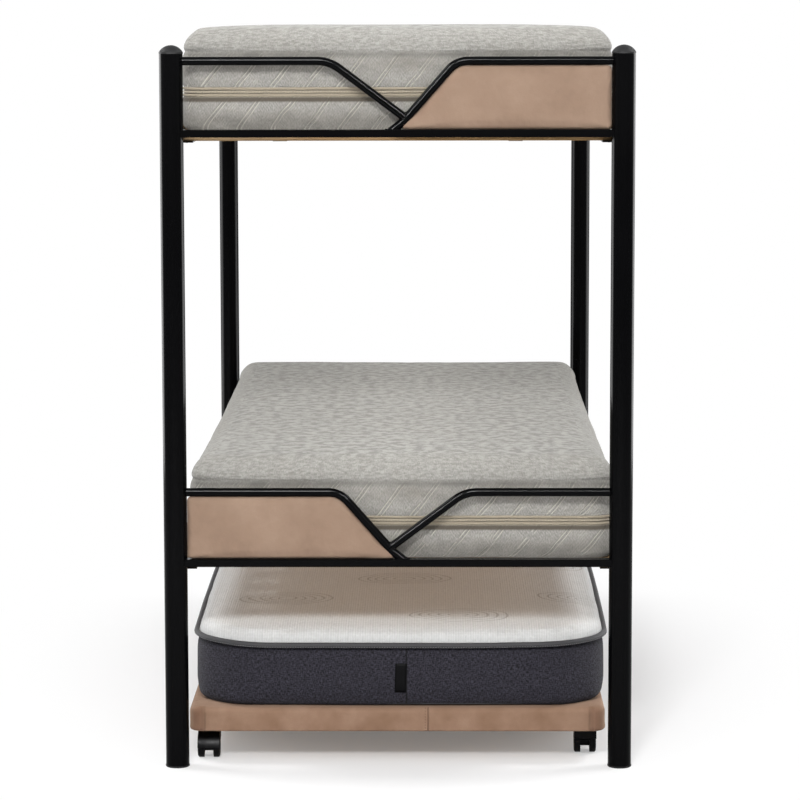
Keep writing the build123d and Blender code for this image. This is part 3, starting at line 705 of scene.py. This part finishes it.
# %% The trim tree
def new_tree(name, sizes):
    """An empty geometry tree with a geometry input and output and named number inputs."""
    tree = bpy.data.node_groups.new(name, "GeometryNodeTree")
    tree.interface.new_socket("Geometry", in_out="INPUT", socket_type="NodeSocketGeometry")
    for size in sizes:
        tree.interface.new_socket(size, in_out="INPUT", socket_type="NodeSocketFloat")
    tree.interface.new_socket("Material", in_out="INPUT", socket_type="NodeSocketMaterial")
    tree.interface.new_socket("Geometry", in_out="OUTPUT", socket_type="NodeSocketGeometry")
    return tree, add(tree, "NodeGroupInput")


def end_tree(tree, given, geometry):
    """Realize Instances, Set Material and the output, as every tree here ends."""
    real = add(tree, "GeometryNodeRealizeInstances", {"Geometry": geometry})
    dressed = add(tree, "GeometryNodeSetMaterial", {"Geometry": real.outputs[0], "Material": given.outputs["Material"]})
    add(tree, "NodeGroupOutput", {0: dressed.outputs[0]})


def grow(piece, tree, material, **sizes):
    """Runs a tree on a piece with its inputs set, and keeps the plain mesh that it makes."""
    modifier = piece.modifiers.new(tree.name, "NODES")
    modifier.node_group = tree
    values = {key.replace("_", " "): value for key, value in sizes.items()}
    values["Material"] = material
    for item in tree.interface.items_tree:
        if item.in_out == "INPUT" and item.name in values:
            modifier[item.identifier] = values[item.name]
    return settle(piece)


rim_trim, given = new_tree("rim_trim", ["Width", "Height"])
line = add(rim_trim, "GeometryNodeMeshToCurve", {0: given.outputs["Geometry"]})
line = add(rim_trim, "GeometryNodeSetCurveNormal", {0: line.outputs[0]}, mode="Z_UP")
ring = add(rim_trim, "GeometryNodeCurvePrimitiveCircle", {"Resolution": 8, "Radius": 0.5})
size = add(rim_trim, "ShaderNodeCombineXYZ", {0: given.outputs["Width"], 1: given.outputs["Height"], 2: 1.0})
section = add(rim_trim, "GeometryNodeTransform", {"Geometry": ring.outputs[0], "Scale": size.outputs[0]})
tube = add(rim_trim, "GeometryNodeCurveToMesh", {"Curve": line.outputs[0], "Profile Curve": section.outputs[0]})
smooth = add(rim_trim, "GeometryNodeSetShadeSmooth", {0: tube.outputs[0]})
end_tree(rim_trim, given, smooth.outputs[0])


def loop_of(name, points):
    """A closed loop of edges through points."""
    return make_piece(name, points, edges=[(i, (i + 1) % len(points)) for i in range(len(points))])


def trim(name, points, width, height, material, body):
    """An oval trim swept round a rim, riding on a body."""
    piece = outward(grow(loop_of(name, points), rim_trim, material, Width=width, Height=height))
    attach(piece, body)
    return piece


print("trim tree with", len(rim_trim.nodes), "nodes")

# %% [markdown]
# Stitches and zip teeth are hundreds of the same small bead, set at an even pitch along a line and turned to
# follow it. Screw heads sit on single points, and an attribute on each point says which way it faces. Their
# cross recess is cut once, before the head is copied.

# %% The stitch tree and the screw tree
stitch_row, given = new_tree("stitch_row", ["Pitch", "Length", "Thickness"])
line = add(stitch_row, "GeometryNodeMeshToCurve", {0: given.outputs["Geometry"]})
spots = add(stitch_row, "GeometryNodeCurveToPoints", {"Curve": line.outputs[0], "Length": given.outputs["Pitch"]},
            mode="LENGTH")
bead = add(stitch_row, "GeometryNodeMeshUVSphere", {"Segments": 6, "Rings": 3, "Radius": 0.5})
size = add(stitch_row, "ShaderNodeCombineXYZ", {0: given.outputs["Thickness"], 1: given.outputs["Thickness"],
                                                2: given.outputs["Length"]})
bead = add(stitch_row, "GeometryNodeTransform", {"Geometry": bead.outputs[0], "Scale": size.outputs[0]})
row = add(stitch_row, "GeometryNodeInstanceOnPoints", {"Points": spots.outputs["Points"], "Instance": bead.outputs[0],
                                                       "Rotation": spots.outputs["Rotation"]})
end_tree(stitch_row, given, add(stitch_row, "GeometryNodeSetShadeSmooth", {0: row.outputs[0]}).outputs[0])

screw_heads, given = new_tree("screw_heads", ["Diameter", "Height"])
diameter, height = given.outputs["Diameter"], given.outputs["Height"]
dome = add(screw_heads, "GeometryNodeMeshUVSphere", {"Segments": 20, "Rings": 10, "Radius": 0.5})
tall = calc(screw_heads, "MULTIPLY", height, 2.0)
size = add(screw_heads, "ShaderNodeCombineXYZ", {0: diameter, 1: diameter, 2: tall})
dome = add(screw_heads, "GeometryNodeTransform", {"Geometry": dome.outputs[0], "Scale": size.outputs[0]})
cuts = []
for long_x, long_y in ((0.55, 0.14), (0.14, 0.55)):
    wide = [calc(screw_heads, "MULTIPLY", diameter, share) for share in (long_x, long_y)]
    size = add(screw_heads, "ShaderNodeCombineXYZ", {0: wide[0], 1: wide[1], 2: height})
    up = add(screw_heads, "ShaderNodeCombineXYZ", {2: height})
    bar = add(screw_heads, "GeometryNodeMeshCube", {"Size": size.outputs[0]})
    cuts.append(add(screw_heads, "GeometryNodeTransform", {"Geometry": bar.outputs[0], "Translation": up.outputs[0]}))
head = dome.outputs[0]
for cut in cuts:
    head = add(screw_heads, "GeometryNodeMeshBoolean", {"Mesh 1": head, "Mesh 2": cut.outputs[0]},
               operation="DIFFERENCE").outputs[0]
facing = add(screw_heads, "GeometryNodeInputNamedAttribute", {"Name": "facing"}, data_type="FLOAT_VECTOR")
turned = add(screw_heads, "FunctionNodeAlignRotationToVector", {"Vector": facing.outputs[0]}, axis="Z")
number = add(screw_heads, "GeometryNodeInputIndex").outputs[0]
angle = calc(screw_heads, "MULTIPLY", number, 0.9)
spin = add(screw_heads, "FunctionNodeAxisAngleToRotation", {"Axis": (0, 0, 1), "Angle": angle})
turned = add(screw_heads, "FunctionNodeRotateRotation", {"Rotation": turned.outputs[0], "Rotate By": spin.outputs[0]},
             rotation_space="LOCAL")
heads = add(screw_heads, "GeometryNodeInstanceOnPoints", {"Points": given.outputs["Geometry"], "Instance": head,
                                                          "Rotation": turned.outputs[0]})
end_tree(screw_heads, given, heads.outputs[0])


def stitches(name, points, pitch, length, thickness, material, body):
    """Beads set along a closed line, riding on a body."""
    piece = grow(loop_of(name, points), stitch_row, material, Pitch=pitch, Length=length, Thickness=thickness)
    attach(piece, body)
    return piece


print("stitch tree", len(stitch_row.nodes), "nodes, screw tree", len(screw_heads.nodes), "nodes")

# %% [markdown]
# ## Screws
#
# Each panel is screwed to four lugs behind it, and each end slat to the ledges below it. The far end frame
# is the near one turned half round, and the middle one is the upper one mirrored, so the places of one
# frame serve for all four.

# %% Screws of the panels and end slats
end_frames = ((1.360, 1), (0.446, -1))  # the deck's height, and the hand of the frame at the near end
screw_places = []
for deck, hand in end_frames:
    for end in (-1, 1):
        for across, rise in ((0.405, 0.1325), (0.169, 0.1325), (0.405, 0.014), (0.082, 0.014)):
            screw_places.append(((-end * hand * across, end * 0.9645, deck + rise), (0, -end, 0)))
        for side in (-1, 1):
            for step in (-0.025, 0.025):
                screw_places.append(((side * 0.449, end * 0.873 + step, deck - 0.023), (0, 0, -1)))
frame_screws = make_piece("frame_screws", [place for place, way in screw_places])
facing = frame_screws.data.attributes.new("facing", "FLOAT_VECTOR", "POINT")
for entry, (place, way) in zip(facing.data, screw_places):
    entry.vector = way
grow(frame_screws, screw_heads, zinc, Diameter=9 * mm, Height=2.2 * mm)
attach(frame_screws, "frame")
print(len(screw_places), "screws,", len(frame_screws.data.polygons), "faces")

# %% [markdown]
# ## Welds
#
# The bent bars are welded to each other and to the rail, and a bead of small ripples runs round each joint.
# Round the foot of the long bar it follows the ellipse in which a slanting round bar meets a flat face. The
# short bar ends on the long one, which is as thick, and there it follows the curve in which two equal
# cylinders meet. A point of that curve is as far from the one axis as from the other, which gives the
# distance that the short bar's surface stops before the joint.

# %% Weld beads
bar_radius = 9.6 * mm
foot, kink, join = Vector((-0.009, 0.006)), Vector((0.012, 0.022)), Vector((0.0182, 0.029))
short_way, long_way = (join - Vector((-0.143, 0.1495))).normalized(), (Vector((0.124, 0.1495)) - kink).normalized()
short_side, long_side = Vector((-short_way.y, short_way.x)), Vector((-long_way.y, long_way.x))
foot_stretch = 1 / abs((kink - foot).normalized().y)
weld_points, weld_edges, steps = [], [], 48
for deck, hand in end_frames:
    for end in (-1, 1):
        bar_y = end * 0.975
        for at_foot in (True, False):
            start = len(weld_points)
            for step in range(steps):
                angle = math.tau * step / steps
                if at_foot:
                    spot = foot + Vector((bar_radius * foot_stretch * math.cos(angle), 0.4 * mm))
                else:
                    aside = bar_radius * math.cos(angle)
                    reach = [aside * short_side.dot(long_side) + way * abs(aside) for way in (-1, 1)]
                    back_off = max(value / short_way.dot(long_side) for value in reach)
                    spot = join - short_way * back_off + short_side * aside
                weld_points.append((-end * hand * spot.x, bar_y + bar_radius * math.sin(angle), deck + spot.y))
                weld_edges.append((start + step, start + (step + 1) % steps))
bar_welds = make_piece("bar_welds", weld_points, edges=weld_edges)
grow(bar_welds, stitch_row, powder_coat, Pitch=2.0 * mm, Length=3.2 * mm, Thickness=3.0 * mm)
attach(bar_welds, "frame")
print("weld beads", len(bar_welds.data.polygons), "faces")

# %% [markdown]
# ## The two grey mattresses
#
# Each has a soft lower edge, a sunk band with a zip all round, a crease where the side meets the top panel,
# and a rounded upper edge. The rows beside the band, the crease and those on the slats are the seams that
# the simulation holds.

# %% Upper and middle mattresses
def mattress_rows():
    """Heights above the slats, and insets, of a grey mattress's wall."""
    rows = list(arc_rows(20 * mm, 20 * mm, -90, 0, 5))
    rows += wall_rows(20 * mm, 73 * mm, 5)
    rows += [(73 * mm, 0), (76 * mm, 3.5 * mm), (92 * mm, 3.5 * mm), (95 * mm, 0)]
    rows += wall_rows(95 * mm, 158 * mm, 5)
    rows += [(158 * mm, 0.5 * mm), (165 * mm, 2 * mm), (170 * mm, 4.5 * mm), (173 * mm, 3.5 * mm)]
    return rows + list(arc_rows(168 * mm, 50 * mm, 9, 90, 9))


def rim_loop(count, size, place, inset, corner, bow, height, wave, lumps, seed):
    """A loop round a padded body, a little wavy."""
    ring = []
    for step in range(count):
        turn = step / count * 4
        side, t = int(turn), turn % 1 * 2 - 1
        x, y = ((t, -1), (1, t), (-t, 1), (-1, -t))[side]
        px, py = plan_point(x, y, size, inset, corner, bow)
        lift = noise.noise(Vector((px, py, seed)) * lumps) * wave
        ring.append((px + place[0], py + place[1], place[2] + height + lift))
    return ring


def pad_noise(piece, amount, size, seed):
    """Small seeded unevenness along each point's normal, as filling always has."""
    normals = [vertex.normal.copy() for vertex in piece.data.vertices]
    for vertex, normal in zip(piece.data.vertices, normals):
        lump = noise.noise(vertex.co / size + Vector((seed, 0, 0)))
        vertex.co += normal * amount * lump


def settle_top(piece, low, near, slope):
    """Lowers the top by a depth that grows along the bed, as a mattress does that has been lain on."""
    for vertex in piece.data.vertices:
        share = min(1, max(0, (vertex.co.z - low.z - 95 * mm) / (110 * mm)))
        vertex.co.z -= share * (near + slope * vertex.co.y)


grey_corner, grey_bow = 45 * mm, 3 * mm
for level, sunk, slope, seed in (("upper", 9.5 * mm, 0.008, 3.0), ("middle", 0.5 * mm, 0.0, 8.0)):
    low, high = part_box(f"{level}_mattress")
    size = (high.x - low.x, high.y - low.y)
    place = ((low.x + high.x) / 2, (low.y + high.y) / 2, low.z)
    rows = mattress_rows()
    piece, rings = soft_body(f"{level}_quilted_mattress", size, rows, grey_corner, grey_bow, place, 20 * mm,
                             grey_knit, crown=5 * mm)
    seams = [index for index, (height, inset) in enumerate(rows)
             if 72 * mm < height < 96 * mm or 169 * mm < height < 174 * mm]
    pinned = {vertex for row in seams for vertex in rings[row]}
    pinned |= {vertex.index for vertex in piece.data.vertices if vertex.co.z < low.z + 8 * mm}
    puff(piece, pinned, 4.0, 4 * mm, growth=0.012)
    pad_noise(piece, 1.2 * mm, 0.16, seed)
    settle_top(piece, low, sunk, slope)
    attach(piece, "frame")
    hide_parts(f"{level}_mattress")

    for part, height, inset, wide, tall in (
        ("zip_lip_low", 77.0, 1.8, 4.5, 6.2), ("zip_lip_high", 91.0, 1.8, 4.5, 6.2), ("zip_coil", 84.0, 2.4, 4.0, 5.6),
    ):
        ring = rim_loop(360, size, place, inset * mm, grey_corner, grey_bow, height * mm, 1.2 * mm, 9, seed)
        trim(f"{level}_{part}", ring, wide * mm, tall * mm, zip_cloth, "frame")
    stitches(f"{level}_zip_teeth", ring, 3.2 * mm, 2.2 * mm, 5.4 * mm, zip_nylon, "frame")
quilted = [piece for piece in scene.objects if piece.name.endswith("_quilted_mattress")]
print("grey mattresses", [len(piece.data.polygons) for piece in quilted])

# %% [markdown]
# ## White knit, piping and charcoal side
#
# The roll-out mattress has a white knitted top: fine ribs run along the bed, 5 mm apart, small bubbles puff
# out where it curves down at the front, and large faint ovals are knitted in, each a set of thin rings. The
# distance to the nearest oval is the least of several lengths, and a back-and-forth of it gives the rings.

# %% White knit
oval_places = [(-0.254, -0.571), (0.010, -0.318), (0.134, -0.771), (0.419, -0.544), (0.330, -0.120)]
oval_places += [(-0.254, -0.071), (0.010, 0.182), (0.134, -0.050), (0.419, 0.260), (-0.254, 0.429)]
oval_places += [(0.134, 0.480), (0.330, 0.640), (-0.060, 0.760)]
oval_stretch = 1.47
white_knit, tree, shader = start_material("white_ribbed_knit", Roughness=0.88, Specular_IOR_Level=0.1,
                                          Sheen_Weight=0.15)
place = add(tree, "ShaderNodeTexCoord").outputs["Object"]
bend = pattern_noise(tree, 80 * mm, 1.0)
bend = add(tree, "ShaderNodeVectorMath", {0: bend.outputs[1], 1: (30 * mm, 30 * mm, 0), 2: place},
           operation="MULTIPLY_ADD").outputs[0]
nearest = None
for x, y in oval_places:
    centre = (-x - 15 * mm, -(y + 15 * mm) * oval_stretch, 0)
    moved = add(tree, "ShaderNodeMapping", {"Vector": bend, "Location": centre, "Scale": (1, oval_stretch, 0)})
    length = add(tree, "ShaderNodeVectorMath", {0: moved.outputs[0]}, operation="LENGTH").outputs["Value"]
    if nearest is not None:
        length = calc(tree, "MINIMUM", nearest, length)
    nearest = length
rings_on = calc(tree, "PINGPONG", nearest, 10.5 * mm)
rings_on = times(tree, span(tree, rings_on, 3.6 * mm, 1.4 * mm), span(tree, nearest, 0.112, 0.106))
axes = add(tree, "ShaderNodeSeparateXYZ", {0: place})
x, z = axes.outputs[0], axes.outputs[2]
rib = span(tree, calc(tree, "PINGPONG", x, 2.65 * mm), 0.3 * mm, 2.3 * mm)
# the knit is dented between the bubbles and also darkened there with painted shade
bubbles = add(tree, "ShaderNodeTexVoronoi", {"Vector": place, "Scale": 1 / (7.5 * mm), "Randomness": 0.35},
              feature="SMOOTH_F1")
yarn = pattern_noise(tree, 2.2 * mm, 2.0)
soft = pattern_noise(tree, 90 * mm, 2.0)
colour = blend_colours(tree, span(tree, rib, 0.0, 1.0, 0.0, 0.42), "F3F4F4", "C4C4C2")
colour = layer(
    tree, colour, ("C4C5C5", span(tree, bubbles.outputs[0], 0.35, 0.6, 0.0, 0.42)),
    ("D0D0CF", span(tree, yarn.outputs[0], 0.4, 0.66, 0.0, 0.2)),
    ("D8D8D6", span(tree, soft.outputs[0], 0.3, 0.7, 0.0, 0.2)), ("9A968F", rings_on, 0.5),
    # painted shade: the knit is darkened towards the piping
    ("A5A5A4", span(tree, z, 0.290, 0.268, 0.0, 0.62)),
)
tree.links.new(colour, shader.inputs["Base Color"])
relief(tree, shader, bubbles.outputs[0], -1.8 * mm)
relief(tree, shader, rib, -0.4 * mm)
relief(tree, shader, rings_on, -0.8 * mm)
print("white knit with", len(oval_places), "ovals,", len(tree.nodes), "nodes")

# %% [markdown]
# The side is a charcoal melange: coarse yarns of two greys, woven plain, so that short level and upright
# flecks cross. Its ends meet in one seam near the middle of the front. A folded strip of dark grey tape
# covers the edge between side and top.

# %% Charcoal cloth, piping and tag cloth
seam_x = 17.5 * mm
charcoal, tree, shader = start_material("charcoal_melange_cloth", Roughness=0.9, Specular_IOR_Level=0.1,
                                        Sheen_Weight=0.05)
place = add(tree, "ShaderNodeUVMap", uv_map="cloth").outputs[0]
lying = add(tree, "ShaderNodeMapping", {"Vector": place, "Scale": (0.28, 1, 1)})
upright = add(tree, "ShaderNodeMapping", {"Vector": place, "Scale": (1, 0.28, 1)})
weft = pattern_noise(tree, 2.0 * mm, 2.0, lying.outputs[0])
warp = pattern_noise(tree, 2.0 * mm, 2.0, upright.outputs[0])
cross = calc(tree, "ADD", weft.outputs[0], warp.outputs[0])
patch = pattern_noise(tree, 30 * mm, 2.0, place)
axes = add(tree, "ShaderNodeSeparateXYZ", {0: add(tree, "ShaderNodeTexCoord").outputs["Object"]})
beside_seam = calc(tree, "ABSOLUTE", calc(tree, "SUBTRACT", axes.outputs[0], seam_x))
seam = times(tree, span(tree, beside_seam, 2.2 * mm, 0.7 * mm), span(tree, axes.outputs[1], -0.85, -0.86))
colour = blend_colours(tree, span(tree, cross, 0.82, 1.22), "09080D", "393741")
colour = layer(tree, colour, ("19171F", span(tree, patch.outputs[0], 0.35, 0.7, 0.0, 0.25)), ("08080A", seam, 0.8))
tree.links.new(colour, shader.inputs["Base Color"])
relief(tree, shader, cross, 0.6 * mm)
relief(tree, shader, seam, -1.5 * mm)

piping_cloth = mottled("grey_piping_cloth", 1.6 * mm, 2.0, "2B2B2D", "3A393C", depth=0.25 * mm, Roughness=0.75,
                       Specular_IOR_Level=0.2, Sheen_Weight=0.1)

tag_cloth, tree, shader = start_material("black_satin_ribbon", Roughness=0.6, IOR=1.12)
place = add(tree, "ShaderNodeTexCoord").outputs["Object"]
upright = add(tree, "ShaderNodeMapping", {"Vector": place, "Scale": (1, 1, 0.2)})
thread = pattern_noise(tree, 0.9 * mm, 2.0, upright.outputs[0])
tree.links.new(blend_colours(tree, thread.outputs[0], "030304", "09090B"), shader.inputs["Base Color"])
relief(tree, shader, thread.outputs[0], 0.15 * mm)

sewing_thread = mottled("grey_sewing_thread", 0.8 * mm, 2.0, "6B6A6C", "858487", depth=0.2 * mm, Roughness=0.6,
                        IOR=1.45)
print("roll-out fabrics", white_knit.name, charcoal.name, piping_cloth.name, tag_cloth.name, sewing_thread.name)

# %% [markdown]
# ## The roll-out mattress
#
# It is made of two closed bodies that meet at the piping: the charcoal side with its base, and the white
# top pad, whose shoulder swells over the piping. The corners are rounder at the piping than at the foot.
# The piping, the seam cord under the lower edge and the row of stitches follow the same outline, drawn in
# by different amounts.

# %% Roll-out mattress
low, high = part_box("roll_out_mattress")
roll_place = ((low.x + high.x) / 2, (low.y + high.y) / 2, low.z)
roll_size = (high.x - low.x - 16 * mm, high.y - low.y - 16 * mm)
side_inset, pad_inset, roll_corner, swell = 12 * mm, 8 * mm, 175 * mm, 8 * mm
side_rows = [(h, i + side_inset) for h, i in arc_rows(22 * mm, 22 * mm, -90, 0, 5)]
side_rows += wall_rows(22 * mm, 127 * mm, 8, side_inset) + [(127 * mm, side_inset), (133 * mm, side_inset + 8 * mm)]
side, rings = soft_body("roll_out_mattress_side", roll_size, side_rows, roll_corner, -swell, roll_place, 20 * mm,
                        charcoal, floor_corner=120 * mm)
pinned = set(rings[-1]) | set(rings[-2]) | {v.index for v in side.data.vertices if v.co.z < low.z + 6 * mm}
pinned |= {v.index for v in side.data.vertices if v.co.z > low.z + 132 * mm}
puff(side, pinned, 4.0, 4 * mm, growth=0.01)
pad_noise(side, 1.0 * mm, 0.14, 5.0)

top_rows = [(131 * mm, pad_inset + 10 * mm), (134 * mm, pad_inset + 2 * mm)]
top_rows += [(height, inset + pad_inset) for height, inset in arc_rows(139 * mm, 23 * mm, 0, 90, 8)]
top, rings = soft_body("roll_out_mattress_top", roll_size, top_rows, roll_corner, -swell, roll_place, 20 * mm,
                       white_knit, crown=6 * mm)
pinned = set(rings[0]) | set(rings[1]) | {v.index for v in top.data.vertices if v.co.z < low.z + 135 * mm}
puff(top, pinned, 4.0, 4 * mm, growth=0.012)
pad_noise(top, 1.4 * mm, 0.15, 11.0)
for piece, fill in ((side, 0.9), (top, 0.8)):
    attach(piece, "roll_out_bed")
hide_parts("roll_out_mattress")
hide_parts("roll_out_mattress")


def roll_rim(inset, height, wave, seed, corner=roll_corner):
    """A loop round the roll-out mattress."""
    return rim_loop(420, roll_size, roll_place, inset, corner, -swell, height, wave, 6, seed)


piping_line = roll_rim(6.5 * mm, 136 * mm, 1.5 * mm, 2.0)
seam_line = roll_rim(side_inset + 11 * mm, 5 * mm, 1 * mm, 4.0, corner=122 * mm)
thread_line = roll_rim(0.9 * mm, 133 * mm, 1.5 * mm, 2.0)
trim("roll_out_piping", piping_line, 13 * mm, 12 * mm, piping_cloth, "roll_out_bed")
trim("roll_out_lower_seam", seam_line, 2.5 * mm, 2.5 * mm, piping_cloth, "roll_out_bed")
stitches("roll_out_piping_stitches", thread_line, 5.5 * mm, 3.6 * mm, 1.0 * mm, sewing_thread, "roll_out_bed")
print("roll-out mattress", len(side.data.polygons), "and", len(top.data.polygons), "faces")

# %% [markdown]
# A black ribbon tag is sewn into the seam at the front, a little left of it. Rays sent at the mattress from
# the front find the surface that it lies on, so it follows every bulge. Its face is left plain.

# %% Ribbon tag
bpy.context.view_layer.update()
tag_points, tag_faces = [], []
across, down = 5, 12
for proud in (0.1 * mm, 1.3 * mm):
    for j in range(down + 1):
        for i in range(across + 1):
            x = seam_x - 26 * mm + 24.5 * mm * i / across + 2 * mm * j / down
            z = 0.152 + 0.064 * j / down
            point, normal = side.ray_cast(Vector((x, -3, z)), Vector((0, 1, 0)))[1:3]
            edge = min(i, across - i, j, down - j)
            tag_points.append(point + normal * (proud if edge or proud < 1 * mm else 0.7 * mm))
row = across + 1
back = row * (down + 1)
for j in range(down):
    for i in range(across):
        a = j * row + i
        tag_faces += [(a, a + row, a + row + 1, a + 1), (back + a, back + a + 1, back + a + row + 1, back + a + row)]
border = [i for i in range(across)] + [across + j * row for j in range(down)]
border += [down * row + across - i for i in range(across)] + [(down - j) * row for j in range(down)]
for a, b in zip(border, border[1:] + border[:1]):
    tag_faces.append((a, b, back + b, back + a))
tag = outward(make_piece("roll_out_mattress_tag", tag_points, tag_faces, tag_cloth))
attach(tag, "roll_out_bed")
print("tag", [round(value * 1000) for value in tag.dimensions], "mm")

# %% [markdown]
# ## The suede base
#
# Thin padding under suede over the timbers: soft edges, corners pulled round, small gathers there, and an
# open bottom with a turned hem. A seam runs down the front, a little right of the middle.

# %% Suede base
low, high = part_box("base_cover")
base_place = ((low.x + high.x) / 2, 0, low.z)
base_size = (high.x - low.x, high.y - low.y)
rows = [(0.5 * mm, 26 * mm), (0 * mm, 14 * mm), (0.5 * mm, 5 * mm), (3.5 * mm, 1 * mm), (8 * mm, 0)]
rows += wall_rows(8 * mm, 41 * mm, 5) + [(41 * mm, 0)] + list(arc_rows(41 * mm, 13 * mm, 12, 90, 6))
outer, rings = soft_body("roll_out_base_suede", base_size, rows, 30 * mm, 0, base_place, 16 * mm, base_suede)
work = bmesh.new()
work.from_mesh(outer.data)
half_x, half_y = base_size[0] / 2 - 25 * mm, base_size[1] / 2 - 25 * mm
inner_floor = [face for face in work.faces if all(
    abs(v.co.z - low.z - 0.5 * mm) < 1e-6 and abs(v.co.x - base_place[0]) < half_x and abs(v.co.y) < half_y
    for v in face.verts)]
bmesh.ops.delete(work, geom=inner_floor, context="FACES")
work.to_mesh(outer.data)
work.free()
puff(outer, {v.index for v in outer.data.vertices if v.co.z < low.z + 6 * mm}, 2.0, 2 * mm, growth=0.008)
wall = outer.modifiers.new("Wall", "SOLIDIFY")
wall.thickness, wall.offset = 1.5 * mm, -1
settle(outer)
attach(outer, "roll_out_bed")
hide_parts("base_cover")
print("base", len(outer.data.polygons), "faces")

# %% [markdown]
# ## The suede panels
#
# A board with a few millimetres of padding, suede pulled over its edges. The CAD node has the outline, so
# the panel starts from a merged copy of it, evenly remeshed, and is puffed a little at its front.

# %% Panels
def pull_tight(panel):
    """Takes the suede out to the bars around it, and into the narrow corner at the foot of the long bar."""
    normals = [vertex.normal.copy() for vertex in panel.data.vertices]
    for vertex, normal in zip(panel.data.vertices, normals):
        vertex.co += Vector((normal.x, 0, normal.z)) * 1.1 * mm
    floor_z = min(vertex.co.z for vertex in panel.data.vertices)
    hand = math.copysign(1, sum(vertex.co.x for vertex in panel.data.vertices))
    tip_x = min(vertex.co.x * hand for vertex in panel.data.vertices if vertex.co.z < floor_z + 8 * mm)
    for vertex in panel.data.vertices:
        away = math.hypot(vertex.co.x * hand - tip_x, vertex.co.z - floor_z)
        vertex.co.x -= hand * 16 * mm * max(0, 1 - away / (44 * mm)) ** 2


for name in [name for name in nodes if name.endswith("_panel")]:
    panel = bpy.data.objects.new(f"{name}_suede", nodes[name].data.copy())
    scene.collection.objects.link(panel)
    work = bmesh.new()
    work.from_mesh(panel.data)
    bmesh.ops.remove_doubles(work, verts=work.verts, dist=0.01 * mm)
    work.to_mesh(panel.data)
    work.free()
    even = panel.modifiers.new("Even", "REMESH")
    even.mode, even.voxel_size = "VOXEL", 4 * mm
    settle(panel)
    panel.data.materials.clear()
    panel.data.materials.append(panel_suede)
    front = min(v.co.y for v in panel.data.vertices) if "front" in name else max(v.co.y for v in panel.data.vertices)
    puff(panel, {v.index for v in panel.data.vertices if abs(v.co.y - front) > 6 * mm}, 3.0, 1.6 * mm, growth=0.006)
    panel.data.shade_smooth()
    pull_tight(panel)
    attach(panel, "frame")
    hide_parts(name)

# %% [markdown]
# ## View
#
# The view is plain: no tone curve, no compositor.

# %% The view
scene.view_settings.view_transform = "Standard"
